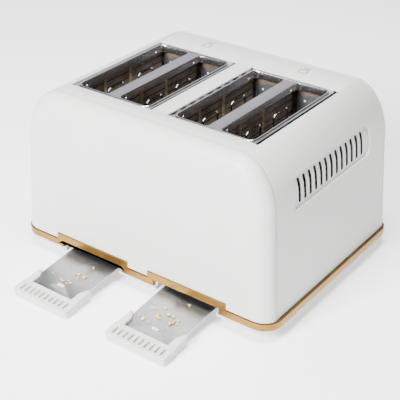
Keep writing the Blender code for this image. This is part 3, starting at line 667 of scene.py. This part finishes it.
def tray_handle(side):
    """Moulded grip with ten slots on top, a finger scoop below and a clip that holds the sheet."""
    grip = HANDLE_WIDTH / 2 - SKIN
    half = handle_half(grip, 0.0095, 0.0032)
    outline = half + [(-x, y) for x, y in reversed(half)]
    handle = prism(f"{side}_tray_grip", [outline], HANDLE_LOW + SKIN, HANDLE_HIGH - SKIN)
    width = TRAY_WIDTH / 2 + GAP
    combine(handle, boxes("pocket", [((-width, WING - 0.01, -GAP), (width, ROOT + GAP, TRAY_LIP + GAP))]))
    scoop = [(TRAY_OUT - 0.0125, -0.0100), (TRAY_OUT - 0.0125, -0.0020), (TRAY_OUT - 0.0110, -0.0012),
             (TRAY_OUT - 0.0050, -0.0012), (TRAY_OUT - 0.0030, -0.0030), (TRAY_OUT - 0.0026, -0.0100)]
    combine(handle, prism("scoop", [scoop], -grip + 0.006, grip - 0.006, "X"))
    pitch = (HANDLE_WIDTH - 0.009) / GRIP_SLOTS
    places = [((index - (GRIP_SLOTS - 1) / 2) * pitch, HEEL + 0.0101) for index in range(GRIP_SLOTS)]
    cuts = [rounded_rectangle(GRIP_SLOT_WIDTH, GRIP_SLOT_LENGTH, 0.0009, 3, place) for place in places]
    combine(handle, prism("grip_cuts", cuts, HANDLE_HIGH - GRIP_SLOT_DEPTH, 0.02))
    tongue_low, tongue_high = (-0.0085, CLIP_Y - 0.0035, -0.0022), (0.0085, HEEL + 0.0040, -GAP)
    clip_low, clip_high = (-0.0044, CLIP_Y - 0.0018, -0.0010), (0.0044, CLIP_Y + 0.0018, SHEET + 0.0005)
    tongue = boxes("tongue", [(tongue_low, tongue_high), (clip_low, clip_high)])
    bevel(handle, 0.0005, 3, 30)
    piece = join([handle, bevel(tongue, 0.0003, 2, 30)], f"{side}_tray_grip")
    smooth(piece, 45)
    finish_piece(on_slide(piece, side), PLASTIC_WHITE, f"{side}_crumb_tray", f"{side}_tray_handle")


def tray_plate(side):
    """Folded sheet with a low lip, a window for the clip and three stamped lines at its inner end."""
    rear = ROOT - TRAY_LENGTH
    middle = (ROOT + rear) / 2
    sheet = rounded_rectangle(TRAY_WIDTH, TRAY_LENGTH, 0.002, 4, (0, middle))
    plate = prism(f"{side}_tray_sheet", [sheet], 0.00001, TRAY_LIP)
    pocket = rounded_rectangle(TRAY_WIDTH - 2 * SHEET, TRAY_LENGTH + 0.02, 0.0014, 4,
                               (0, middle + SHEET + 0.01))
    combine(plate, prism("tray_hollow", [pocket], SHEET, 0.01))
    window = ((-0.0052, CLIP_Y - 0.0026, -0.01), (0.0052, CLIP_Y + 0.0026, 0.01))
    combine(plate, boxes("clip_window", [window]))
    stamped = [rounded_rectangle(TRAY_WIDTH - 0.012, 0.0016, 0.0007, 3, (0, rear + 0.012 + 0.010 * k))
               for k in range(3)]
    combine(plate, prism("stamped", stamped, SHEET - 0.0003, 0.01))
    bevel(plate, 0.0003, 2, 40)
    smooth(plate, 40)
    finish_piece(on_slide(plate, side), TRAY_STEEL, f"{side}_crumb_tray", f"{side}_tray_plate")


CRUMB_SPREAD = 0.012
CRUMB_REACH_X = 0.027
CRUMB_REACH_Y = 0.046


def crumbs(side, seed, count):
    """Loose toast crumbs on the visible stretch of the plate, as one mesh."""
    draw = random.Random(seed)
    bm = bmesh.new()
    for _ in range(count):
        size = 0.0005 + 0.0024 * draw.random() ** 2.4
        x = draw.gauss(0.0, CRUMB_SPREAD)
        y = CLIP_Y - 0.004 - abs(draw.gauss(CRUMB_SPREAD, CRUMB_SPREAD))
        x = max(-CRUMB_REACH_X, min(CRUMB_REACH_X, x))
        y = max(CLIP_Y - CRUMB_REACH_Y, y)
        flat = 0.45 + 0.3 * draw.random()
        turn = Matrix.Rotation(draw.random() * 6.28, 4, "Z")
        shape = Matrix.Diagonal((size, size * (0.5 + draw.random() * 0.5), size * flat, 1.0))
        place = Matrix.Translation((x, y, SHEET + size * flat * 0.8)) @ (turn @ shape)
        made = bmesh.ops.create_icosphere(bm, subdivisions=2, radius=1.0, matrix=place)
        for vert in made["verts"]:
            middle = place.translation
            vert.co = middle + (vert.co - middle) * (0.72 + 0.5 * draw.random())
            vert.co.z = max(vert.co.z, SHEET + HAIR)
    piece = smooth(to_object(f"{side}_crumbs", bm), 60)
    finish_piece(on_slide(piece, side), CRUST, f"{side}_crumb_tray")


# ---- slot frames and chambers

FRAME_TOP = TOP_Z - 0.0019
SKIRT_LOW = FRAME_TOP - 0.0070
FRAME_NEAR = 0.0017
FRAME_FAR = 0.0002
BEAD_RADIUS = 0.00145
DASHES = 9
DASH_PITCH = 0.0151
DASH_WIDTH = 0.0024
DASH_LENGTH = 0.0090
DASH_INSET = 0.0012
DASH_SHIFT = 0.0038
DASHED_PAIR = "left"
# Place and size of the near-black painted-shade strip under the dashes.
SHADE_STRIP_NEAR = 0.0004
SHADE_STRIP_FAR = 0.0052
SHADE_STRIP_DROP = 0.0025
SHADE_STRIP_THICKNESS = 0.0005


def slot_middles(side):
    return side * PAIR_X - SLOT_PITCH / 2, side * PAIR_X + SLOT_PITCH / 2


def dash_cuts(edge_x, side):
    """Cutter for the row of dashes along the outer edge of the flange."""
    rows = [WINDOW_Y + DASH_SHIFT + (k - (DASHES - 1) / 2) * DASH_PITCH for k in range(DASHES)]
    x = edge_x + side * DASH_INSET
    dashes = [rounded_rectangle(DASH_WIDTH, DASH_LENGTH, 0.0004, 2, (x, y)) for y in rows]
    return prism("dash_cuts", dashes, FRAME_TOP - 0.005, FRAME_TOP + 0.005)


# Painted shade: a near-black strip under the dashes, so that they read as dark openings.
def dash_shade_strip(edge_x, side, low_y, high_y):
    near, far = sorted((edge_x + side * SHADE_STRIP_NEAR, edge_x + side * SHADE_STRIP_FAR))
    top = FRAME_TOP - SHADE_STRIP_DROP
    return boxes("shade_strip", [((near, low_y, top - SHADE_STRIP_THICKNESS), (far, high_y, top))])


def slot_frame(name, side):
    """Pressed frame: thin flange and skirt, rolled bead round the pair, and painted shade (near-black) on the
    hollow under the flange.
    """
    middle = (side * PAIR_X, WINDOW_Y)
    width = WINDOW_WIDTH - FRAME_NEAR - FRAME_FAR
    length = WINDOW_LENGTH - FRAME_NEAR - FRAME_FAR
    lean = (FRAME_NEAR - FRAME_FAR) / 2
    seat = (middle[0] + lean, middle[1] - lean)
    outline = rounded_rectangle(width, length, 0.0050, 8, seat)
    frame = prism(f"{name}_slot_surround", [outline], SKIRT_LOW, FRAME_TOP)
    inner = rounded_rectangle(width - 2 * SHEET, length - 2 * SHEET, 0.0042, 8, seat)
    pocket = prism("pocket", [inner], 0.05, FRAME_TOP - SHEET)
    middles = [(x, WINDOW_Y) for x in slot_middles(side)]
    grown = [rounded_rectangle(SLOT_WIDTH + 2 * SHEET, SLOT_LENGTH + 2 * SHEET, SLOT_RADIUS + SHEET, 8, place)
             for place in middles]
    combine(pocket, prism("walls", grown, 0.04, 0.25))
    combine(frame, pocket)
    holes = [rounded_rectangle(SLOT_WIDTH, SLOT_LENGTH, SLOT_RADIUS, 8, place) for place in middles]
    combine(frame, prism("holes", holes, 0.04, 0.25))
    edge_x = side * (PAIR_X - WINDOW_WIDTH / 2)
    if name == DASHED_PAIR:
        combine(frame, dash_cuts(edge_x, side))
    bevel(frame, 0.0003, 2, 40)
    bead_x = SLOT_PITCH + SLOT_WIDTH + 2 * BEAD_RADIUS
    bead_y = SLOT_LENGTH + 2 * BEAD_RADIUS
    loop = rounded_rectangle(bead_x, bead_y, SLOT_RADIUS + BEAD_RADIUS, 8, middle)
    parts = [frame, tubes("bead", [[(x, y, FRAME_TOP) for x, y in loop]], BEAD_RADIUS, 12, True)]
    if name == DASHED_PAIR:
        parts.append(dash_shade_strip(edge_x, side, seat[1] - length / 2 + 0.003, seat[1] + length / 2 - 0.003))
    piece = join(parts, f"{name}_slot_surround")
    smooth(piece, 50)
    finish_piece(piece, FRAME_STEEL, "housing", f"{name}_slot_frame")
    # Painted shade: faces below the flange, away from the slot walls and outer edges, are coloured
    # near-black.
    piece.data.materials.append(PAINTED_SHADE)
    for face in piece.data.polygons:
        at = face.center
        off_slot = min(abs(at.x - x) for x, _ in middles) - SLOT_WIDTH / 2
        by_slot = off_slot < 0.6 * SHEET and abs(at.y - WINDOW_Y) < SLOT_LENGTH / 2 + 0.6 * SHEET
        outer_x = abs(at.x - seat[0]) > width / 2 - 0.4 * SHEET
        outer_y = abs(at.y - seat[1]) > length / 2 - 0.4 * SHEET
        below = at.z < FRAME_TOP - 0.5 * SHEET
        face.material_index = int(below and not by_slot and not outer_x and not outer_y)


BRIDGE_FLARE = 0.0045


def bridge(name, side):
    """Brushed strip between the two slots, let into the rolled bead at both ends."""
    half = (SLOT_PITCH - SLOT_WIDTH) / 2 - 0.0004
    start = SLOT_LENGTH / 2 - BRIDGE_FLARE
    x = side * PAIR_X
    steps = 6
    turns = [math.pi / 2 * k / steps for k in range(steps + 1)]
    side_line = [(half + BRIDGE_FLARE - BRIDGE_FLARE * math.sin(t), -start - BRIDGE_FLARE * math.cos(t))
                 for t in turns]
    side_line += [(half + BRIDGE_FLARE - BRIDGE_FLARE * math.cos(t), start + BRIDGE_FLARE * math.sin(t))
                  for t in turns]
    outline = [(x + a, WINDOW_Y + b) for a, b in side_line]
    outline += [(x - a, WINDOW_Y + b) for a, b in reversed(side_line)]
    strip = prism(f"{name}_bridge_strip", [outline], FRAME_TOP + HAIR, FRAME_TOP + 0.0006)
    bevel(strip, 0.0002, 2, 40)
    smooth(strip, 40)
    finish_piece(strip, BRIDGE_STEEL, "housing")


PLATE_TOP = SKIRT_LOW - 0.0055
PLATE_LEG = 0.0120
PLATE_WAVES = 40
ROD_Y = MIDDLE_Y - 0.0860
TAB_LOW = 0.1663
TAB_HIGH = 0.1675
SHELF_SLOT_LOW = 0.0380
SHELF_SLOT_HIGH = 0.1200


def end_plate(name, side, place):
    """Dull steel sheet with a wavy upper edge, in front of an insulating strip in a darkened mica brown that
    is painted shade under the collar.
    """
    low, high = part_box(f"{name}_{place}_end_plate")
    top = []
    for k in range(PLATE_WAVES + 1):
        x = high.x - (high.x - low.x) * (k / PLATE_WAVES)
        turn = 2 * math.pi * (x - side * PAIR_X) / SLOT_PITCH
        top.append((x, PLATE_TOP + 0.0024 * math.sin(turn) - 0.0012 * math.sin(3 * turn)))
    frame_low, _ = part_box(f"{name}_slot_frame")
    sheet_y = (frame_low.y + SHEET) if place == "front" else high.y
    legs = [(low.x + SKIN, low.z), (low.x + PLATE_LEG, low.z), (low.x + PLATE_LEG, SHELF_SLOT_LOW),
            (high.x - PLATE_LEG, SHELF_SLOT_LOW), (high.x - PLATE_LEG, low.z), (high.x - SKIN, low.z)]
    outline = legs + top
    plate = prism(f"{name}_{place}_chamber_end", [outline], sheet_y - SHEET + SKIN, sheet_y - SKIN, "Y")
    strip = boxes("strip", [((low.x + SKIN, sheet_y - SHEET, PLATE_TOP - 0.02),
                             (high.x - SKIN, sheet_y, SKIRT_LOW - SKIN))])
    if place == "front":
        x = side * PAIR_X
        tab = ((x - 0.006, ROD_Y - 0.008, TAB_LOW), (x + 0.022, sheet_y - SHEET / 2, TAB_HIGH))
        combine(plate, boxes("tab", [tab]), "UNION")
        slots = [((middle - 0.0024, sheet_y - 0.005, SHELF_SLOT_LOW),
                  (middle + 0.0024, sheet_y + 0.004, SHELF_SLOT_HIGH)) for middle in slot_middles(side)]
        combine(plate, boxes("shelf_slots", slots))
    bevel(plate, 0.0002, 1, 50)
    smooth(plate, 40)
    finish_piece(plate, CHAMBER_STEEL, "housing", f"{name}_{place}_end_plate")
    shift = -0.0009 if place == "front" else 0.0009
    strip.data.transform(Matrix.Translation((0.0, shift, 0.0)))
    strip.name = f"{name}_{place}_insulator"
    bevel(strip, 0.0002, 1, 50)
    # Painted shade: the strip under the collar uses the darkened copy of the mica colour.
    finish_piece(strip, SHADED_MICA, "housing")


RIVET_RADIUS = 0.0013
RIVET_HEIGHT = 0.0009


def rivets(name, side):
    """Bright rivet heads on both chamber ends and along the skirts of the slots."""
    frame_low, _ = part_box(f"{name}_slot_frame")
    front = frame_low.y + SHEET
    rear_low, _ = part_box(f"{name}_rear_end_plate")
    rear = rear_low.y
    ends = []
    sides = []
    for middle in slot_middles(side):
        for x in (middle - 0.0110, middle + 0.0105):
            ends.append((x, front, PLATE_TOP - 0.0075))
            ends.append((x, rear, PLATE_TOP - 0.0075))
        for y in (-0.058, 0.058):
            sides.append((middle + SLOT_WIDTH / 2 + 0.0001, WINDOW_Y + y, SKIRT_LOW + 0.0024))
            sides.append((middle - SLOT_WIDTH / 2 - 0.0001, WINDOW_Y + y, SKIRT_LOW + 0.0024))
    pieces = [domes("end_rivets", ends, RIVET_RADIUS, RIVET_HEIGHT, "Y"),
              domes("side_rivets", sides, RIVET_RADIUS, RIVET_HEIGHT, "X")]
    piece = join(pieces, f"{name}_rivets")
    smooth(piece, 60)
    finish_piece(piece, RIVET_STEEL_AND_TIP_HIGHLIGHT, "housing")


NOTCHES = 6
NOTCH_HALF = 0.0020
NOTCH_DEPTH = 0.0016
BOARD_OFFSET = SLOT_PITCH - 0.0030
BOARD_LOW = 0.0410
RIBBON_ROWS = 18
RIBBON_LOW = BOARD_LOW + 0.0100
RIBBON_HALF_HEIGHT = 0.0006
RIBBON_HALF_WIDTH = 0.00075
CLIP_BARS = (-0.0165, 0.0256)
CLIP_HALF_WIDTH = 0.0012
CLIP_HALF_LENGTH = 0.0022


def heater_boards(name):
    """Mica boards that reach up behind the rolled rims, with notched upper edges."""
    for place in ("outer", "middle", "inner"):
        low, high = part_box(f"{name}_{place}_heater")
        top = SKIRT_LOW - 0.0004
        floor = top - NOTCH_DEPTH
        outline = [(low.y, low.z), (high.y, low.z), (high.y, top)]
        pitch = (high.y - low.y) / NOTCHES
        for k in range(NOTCHES):
            near = high.y - (k + 0.5) * pitch + NOTCH_HALF
            far = high.y - (k + 0.5) * pitch - NOTCH_HALF
            outline += [(near, top), (near, floor), (far, floor), (far, top)]
        outline.append((low.y, top))
        board = prism(f"{name}_{place}_mica", [outline], low.x + 0.00005, high.x - 0.00005, "X")
        bevel(board, 0.0002, 1, 40)
        finish_piece(board, MICA, "housing", f"{name}_{place}_heater")


def heater_dress(name, side):
    """Resistance ribbon in rows on both faces of each board, with pale clip bars across it."""
    half_length = (WINDOW_LENGTH - 0.006) / 2
    pitch = (SKIRT_LOW - 0.0065 - RIBBON_LOW) / (RIBBON_ROWS - 1)
    ribbons = []
    bars = []
    eyes = []
    for x in (side * PAIR_X, side * PAIR_X + BOARD_OFFSET, side * PAIR_X - BOARD_OFFSET):
        for row in range(RIBBON_ROWS):
            z = RIBBON_LOW + row * pitch
            ribbons.append(((x - RIBBON_HALF_WIDTH, WINDOW_Y - half_length, z - RIBBON_HALF_HEIGHT),
                            (x + RIBBON_HALF_WIDTH, WINDOW_Y + half_length, z + RIBBON_HALF_HEIGHT)))
        for y in CLIP_BARS:
            bars.append(((x - CLIP_HALF_WIDTH, WINDOW_Y + y - CLIP_HALF_LENGTH, BOARD_LOW + 0.004),
                         (x + CLIP_HALF_WIDTH, WINDOW_Y + y + CLIP_HALF_LENGTH, SKIRT_LOW - 0.0030)))
            for row in range(RIBBON_ROWS - 1):
                z = RIBBON_LOW + (row + 0.5) * pitch
                eyes.append((x - CLIP_HALF_WIDTH, WINDOW_Y + y, z))
                eyes.append((x + CLIP_HALF_WIDTH, WINDOW_Y + y, z))
    wound = boxes(f"{name}_ribbons", ribbons)
    bevel(wound, 0.0002, 1, 40)
    finish_piece(wound, RIBBON, "housing")
    clips = boxes(f"{name}_board_clips", bars)
    bevel(clips, 0.0003, 2, 40)
    finish_piece(clips, CLIP, "housing")
    studs = smooth(domes(f"{name}_clip_eyes", eyes, 0.0008, 0.0006, "X"), 60)
    finish_piece(studs, BRASS, "housing")


WIRE_RADIUS = 0.00078
WIRE_BEND = 0.0035
GUIDE_BARS = (0.0, 0.0560, 0.1120)
GUIDE_UPRIGHTS = (-0.0481, -0.0228, 0.0025, 0.0278, 0.0531)


def bread_guide(node_name):
    """Round-wire grille: three long bars, three bridged loops with painted highlights on their tips, and an
    end wire.
    """
    low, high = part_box(node_name)
    x, _ = middle_of(low, high)
    y_low = low.y + WIRE_RADIUS
    y_high = high.y - WIRE_RADIUS
    z_low = low.z + WIRE_RADIUS
    z_high = high.z - WIRE_RADIUS
    paths = [[(x, y_low, z_low + rise), (x, y_high, z_low + rise)] for rise in GUIDE_BARS]
    uprights = [WINDOW_Y + shift for shift in GUIDE_UPRIGHTS] + [y_high]
    for left, right in zip(uprights[::2], uprights[1::2]):
        corner = arc(left + WIRE_BEND, z_high - WIRE_BEND, WIRE_BEND, 2, 1, 5)
        top = [(x, y, z) for y, z in corner]
        back = [(x, left + right - y, z) for _, y, z in reversed(top)]
        paths.append([(x, left, z_low)] + top + back + [(x, right, z_low)])
    paths.append([(x, y_low, z_low), (x, y_low, z_high)])
    grille = smooth(tubes(f"{node_name}_rods", paths, WIRE_RADIUS, 8), 60)
    finish_piece(grille, WIRE, f"{node_name}_wires", node_name)
    # Painted highlight: faces at the tops of the loops take the near-white rivet colour.
    grille.data.materials.append(RIVET_STEEL_AND_TIP_HIGHLIGHT)
    for face in grille.data.polygons:
        nearest = min(abs(face.center.y - y) for y in uprights)
        if face.center.z > z_high - WIRE_BEND / 2 and nearest < WIRE_BEND:
            face.material_index = 1


# ---- controls

DISH_LENGTH = 0.0130
DISH_DEPTH = 0.0016
INLAY_HEIGHT = 0.0022
DIAL_DEPTH = 0.0170
DIAL_FLUTES = 36
FLUTE_DEPTH = 0.0006
DIAL_STEPS = 144
MARK_REACH = 0.0205
MARK_WIDTH = 0.0007


def lever_knob(side):
    """Rounded knob with a finger dish on top and a gold inlay."""
    low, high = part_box(f"{side}_lever_knob")
    middle = middle_of(low, high)
    width = high.x - low.x - 2 * SKIN
    height = high.z - low.z - 2 * SKIN
    outline = rounded_rectangle(width, height, 0.0055, 8, middle)
    knob = prism(f"{side}_lever_grip", [outline], low.y + SKIN, high.y - SKIN, "Y")
    steps = 12
    dish = [(low.y + 0.004 + DISH_LENGTH * k / steps,
             high.z + 0.0002 - DISH_DEPTH * math.sin(math.pi * k / steps)) for k in range(steps + 1)]
    combine(knob, prism("dish", [dish], middle[0] - 0.014, middle[0] + 0.014, "X"))
    bevel(knob, 0.0014, 4, 40)
    smooth(knob, 50)
    finish_piece(knob, PLASTIC_WHITE, f"{side}_lift", f"{side}_lever_knob")
    stripe = rounded_rectangle(width - 0.008, INLAY_HEIGHT, 0.0010, 4, middle)
    inlay = prism(f"{side}_lever_inlay", [stripe], low.y + HAIR, low.y + 0.0012, "Y")
    bevel(inlay, 0.0002, 2, 40)
    finish_piece(inlay, GOLD, f"{side}_lift")


def dial(side):
    """Fluted knob with a pointer groove, a stem and a gold ring at its root."""
    low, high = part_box(f"{side}_browning_dial")
    x, z = middle_of(low, high)
    radius = (high.x - low.x) / 2 - SKIN
    neck = radius - 0.0012
    face = low.y + SKIN
    root = low.y + DIAL_DEPTH - 0.0010
    profile = [(0.004, face + 0.0008), (radius - 0.0042, face + 0.0006), (radius - 0.0026, face),
               (radius - 0.0010, face), (radius - 0.0003, face + 0.0006), (radius, face + 0.0014),
               (radius, root - 0.0042), (neck, root - 0.0040), (neck, root)]
    knob = turned(f"{side}_dial_knob", profile, DIAL_STEPS, (x, 0.0, z), DIAL_FLUTES, FLUTE_DEPTH)
    pointer = ((x - 0.0007, face - 0.01, z + 0.0060), (x + 0.0007, face + 0.0016, z + 0.0148))
    combine(knob, boxes("pointer_cut", [pointer]))
    stem = turned("stem", [(0.0030, root - 0.001), (0.0030, high.y)], 24, (x, 0.0, z))
    piece = smooth(join([knob, stem], f"{side}_dial_knob"), 40)
    finish_piece(piece, PLASTIC_WHITE, f"{side}_dial", f"{side}_browning_dial")
    ring_profile = [(neck, root - 0.0036), (radius - 0.0002, root - 0.0036), (radius, root - 0.0033),
                    (radius, root - 0.0008), (radius - 0.0002, root - 0.0005), (neck, root - 0.0005)]
    ring = smooth(turned(f"{side}_dial_ring", ring_profile, 96, (x, 0.0, z)), 40)
    finish_piece(ring, GOLD, f"{side}_dial")


def printed(name, outlines, face, thickness=0.0002):
    """Thin printed marks that stand a hair proud of a face looking along -Y."""
    return prism(name, outlines, face, face + thickness, "Y")


def bar_outline(x, z, length, width, angle):
    """Rectangle about a middle point, turned by an angle."""
    along = (math.cos(angle), math.sin(angle))
    across = (-along[1], along[0])
    a, b = length / 2, width / 2
    return [(x + u * along[0] + v * across[0], z + u * along[1] + v * across[1])
            for u, v in ((-a, -b), (a, -b), (a, b), (-a, b))]


def dial_marks(side):
    """Seven printed strokes round the dial, each longer than the one before."""
    x, z = middle_of(*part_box(f"{side}_browning_dial"))
    marks = []
    for k in range(7):
        angle = math.radians(225 - 45 * k)
        mark_x = x + MARK_REACH * math.cos(angle)
        mark_z = z + MARK_REACH * math.sin(angle)
        marks.append(bar_outline(mark_x, mark_z, 0.0012 + 0.0004 * k, MARK_WIDTH, angle))
    piece = printed(f"{side}_dial_marks", marks, FRONT_LOW.y + HAIR)
    finish_piece(piece, PRINT, "housing")


def symbol(label, x, z):
    """Plain outlines for the three button symbols."""
    if label == "cancel":
        return [bar_outline(x, z, 0.0044, MARK_WIDTH, math.pi / 4),
                bar_outline(x, z, 0.0018, MARK_WIDTH, -math.pi / 4)]
    if label == "reheat":
        return [bar_outline(x + dx, z, 0.0040, 0.0006, math.pi / 2) for dx in (-0.0018, 0.0, 0.0018)]
    return [bar_outline(x, z + dz, 0.0050, 0.0006, 0.0) for dz in (-0.0013, 0.0013)]


def button(side, label):
    """Small rounded key with a stem and a printed symbol."""
    low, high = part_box(f"{side}_{label}_button")
    x, z = middle_of(low, high)
    outline = rounded_rectangle(high.x - low.x - 2 * SKIN, high.z - low.z - 2 * SKIN, 0.0029, 8, (x, z))
    cap = prism(f"{side}_{label}_key", [outline], low.y + SKIN, low.y + 0.0080, "Y")
    bevel(cap, 0.0007, 3, 40)
    stem = boxes("stem", [((x - 0.002, low.y + 0.0075, z - 0.002), (x + 0.002, high.y, z + 0.002))])
    piece = smooth(join([cap, stem], f"{side}_{label}_key"), 40)
    finish_piece(piece, PLASTIC_WHITE, f"{side}_{label}", f"{side}_{label}_button")
    mark = printed(f"{side}_{label}_symbol", symbol(label, x, z), low.y + HAIR)
    finish_piece(mark, PRINT, f"{side}_{label}")


PRINT_SINK = 0.00003


def top_pictogram(side, x):
    """Small generic slice-of-bread outline printed on the top, near the controls."""
    y = MIDDLE_Y - 0.0885
    z = TOP_Z - 0.00015
    half = 0.0045
    crust = [(0.0049 * math.cos(math.pi * k / 8), 0.0023 + 0.0026 * math.sin(math.pi * k / 8))
             for k in range(9)]
    slice_line = [(-half, -half), (half, -half), (half, 0.0013)] + crust + [(-half, 0.0013)]
    outline = tubes("outline", [[(x - a, y - b, z) for a, b in slice_line]], 0.0008, 6, True)
    wisps = [[(x + shift + 0.0006 * math.sin(math.pi * k / 4), y - 0.0064 - 0.0006 * k, z) for k in range(8)]
             for shift in (-0.0026, 0.0, 0.0026)]
    steam = tubes("steam", wisps, 0.0006, 6)
    piece = join([outline, steam], f"{side}_pictogram")
    for vert in piece.data.vertices:
        vert.co.z = min(vert.co.z, TOP_Z - PRINT_SINK)
    finish_piece(piece, PRINT, "housing")


SCREW_X = 0.1420
SCREW_Y = 0.0580
SCREW_HEAD = 0.0068
CROSS = 0.0022
CROSS_WIDTH = 0.0004


def base_screws():
    """Low cross-head screws on the underside."""
    low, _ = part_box("base_plate")
    heads = []
    cuts = []
    for x in (-SCREW_X, SCREW_X):
        for y in (MIDDLE_Y - SCREW_Y, MIDDLE_Y + SCREW_Y):
            heads.append(rounded_rectangle(SCREW_HEAD, SCREW_HEAD, 0.00339, 6, (x, y)))
            for a, b in ((CROSS, CROSS_WIDTH), (CROSS_WIDTH, CROSS)):
                cuts.append(((x - a, y - b, low.z - 0.002), (x + a, y + b, low.z - 0.0002)))
    piece = prism("base_screws", heads, low.z - 0.0008, low.z - HAIR)
    for cut in cuts:
        combine(piece, boxes("cross", [cut]))
    bevel(piece, 0.0003, 2, 50)
    smooth(piece, 40)
    finish_piece(piece, FRAME_STEEL, "housing")


# ---- camera, light and floor

def camera():
    data = bpy.data.cameras.new("camera")
    data.lens = CAMERA_LENS
    data.sensor_width = 36.0
    data.clip_start = 0.01
    obj = in_scene("camera", data)
    obj.location = (CAMERA_PLACE[0], CAMERA_PLACE[1] + MIDDLE_Y, CAMERA_PLACE[2])
    aim = Vector((math.sin(CAMERA_AZIMUTH) * math.cos(CAMERA_ELEVATION),
                  -math.cos(CAMERA_AZIMUTH) * math.cos(CAMERA_ELEVATION), -math.sin(CAMERA_ELEVATION)))
    obj.rotation_mode = "QUATERNION"
    obj.rotation_quaternion = aim.to_track_quat("-Z", "Y")
    bpy.context.scene.camera = obj


def area_light(name, place, target, size, power):
    data = bpy.data.lights.new(name, "AREA")
    data.shape = "DISK"
    data.size = size
    data.energy = power
    obj = in_scene(name, data)
    obj.location = place
    obj.rotation_mode = "QUATERNION"
    obj.rotation_quaternion = (Vector(target) - Vector(place)).to_track_quat("-Z", "Y")


WORLD_STRENGTH = 0.10
KEY_POWER = 212.0
OVERHEAD_POWER = 78.0
CARD_POWER = 8.0
FLOOR_SIZE = 40.0
FLOOR_GLOW = 0.70


def studio():
    """Pale glowing floor, a large key light behind the trays, an overhead light and a weak fill."""
    world = bpy.data.worlds.new("studio")
    bpy.context.scene.world = world
    world.use_nodes = True
    back = world.node_tree.nodes["Background"]
    back.inputs["Color"].default_value = (1.0, 1.0, 1.0, 1.0)
    back.inputs["Strength"].default_value = WORLD_STRENGTH
    area_light("key", (0.25, 1.95, 1.30), (0.0, 0.0, 0.08), 0.9, KEY_POWER)
    area_light("overhead", (-0.20, 0.25, 1.9), (0.0, 0.0, 0.1), 0.7, OVERHEAD_POWER)
    area_light("card", (1.0, -1.42, 1.05), (0.0, 0.0, 0.15), 1.6, CARD_POWER)
    floor = prism("floor", [rounded_rectangle(FLOOR_SIZE, FLOOR_SIZE, 0.1, 4)], -0.01, -HAIR)
    paint = surface("pale_floor", (0.92, 0.92, 0.92), 0.6, grain=60.0, bump=0.01, vary=0.004)
    shader = paint.node_tree.nodes["Principled BSDF"]
    shader.inputs["Emission Color"].default_value = (1.0, 1.0, 1.0, 1.0)
    shader.inputs["Emission Strength"].default_value = FLOOR_GLOW
    floor.data.materials.append(paint)


SLOTS = {"painted_shell": SHELL_WHITE, "gold_trim": GOLD, "white_plastic": PLASTIC_WHITE,
         "brushed_steel": FRAME_STEEL, "galvanised_steel": GALVANISED, "bright_wire": WIRE, "mica": MICA,
         "black_rubber": RUBBER, "circuit_board": BOARD, "magnet_iron": IRON}
SOFTENED = {"base_plate": 0.0008, "slot1_shelf": 0.0003, "slot2_shelf": 0.0003, "lift_carriage": 0.0003,
            "electromagnet": 0.0003, "control_board": 0.0003}


def paint_frame_nodes():
    """Every CAD node starts with the finish of its slot in the record; the nodes named in SOFTENED, with or
    without a side prefix, also get softened edges.
    """
    for part in frame["record"]["subparts"]:
        piece = frame["nodes"][part["node"]]
        piece.data.materials.clear()
        piece.data.materials.append(SLOTS[part["material_slot"]])
        if part["node"] in SOFTENED or part["node"].split("_", 1)[-1] in SOFTENED:
            edge = piece.modifiers.new("soft_edges", "BEVEL")
            edge.width = SOFTENED.get(part["node"], 0.0003)
            edge.segments = 2
            edge.limit_method = "ANGLE"
            edge.angle_limit = math.radians(40)


camera()
studio()
paint_frame_nodes()
rear_cap()
front_cap()
wrap_cover()
band()
base_screws()
top_pictogram("left", -0.062)
top_pictogram("right", 0.065)
for side_name, side_sign in SIDES:
    tray_handle(side_name)
    tray_plate(side_name)
    slot_frame(side_name, side_sign)
    bridge(side_name, side_sign)
    for plate_place in ("front", "rear"):
        end_plate(side_name, side_sign, plate_place)
    rivets(side_name, side_sign)
    heater_boards(side_name)
    heater_dress(side_name, side_sign)
    for slot_number in (1, 2):
        for guide_letter in ("a", "b"):
            bread_guide(f"{side_name}_slot{slot_number}_guide_{guide_letter}")
    lever_knob(side_name)
    dial(side_name)
    dial_marks(side_name)
    for button_label in BUTTON_LABELS:
        button(side_name, button_label)
crumbs("left", 7, 46)
crumbs("right", 19, 34)
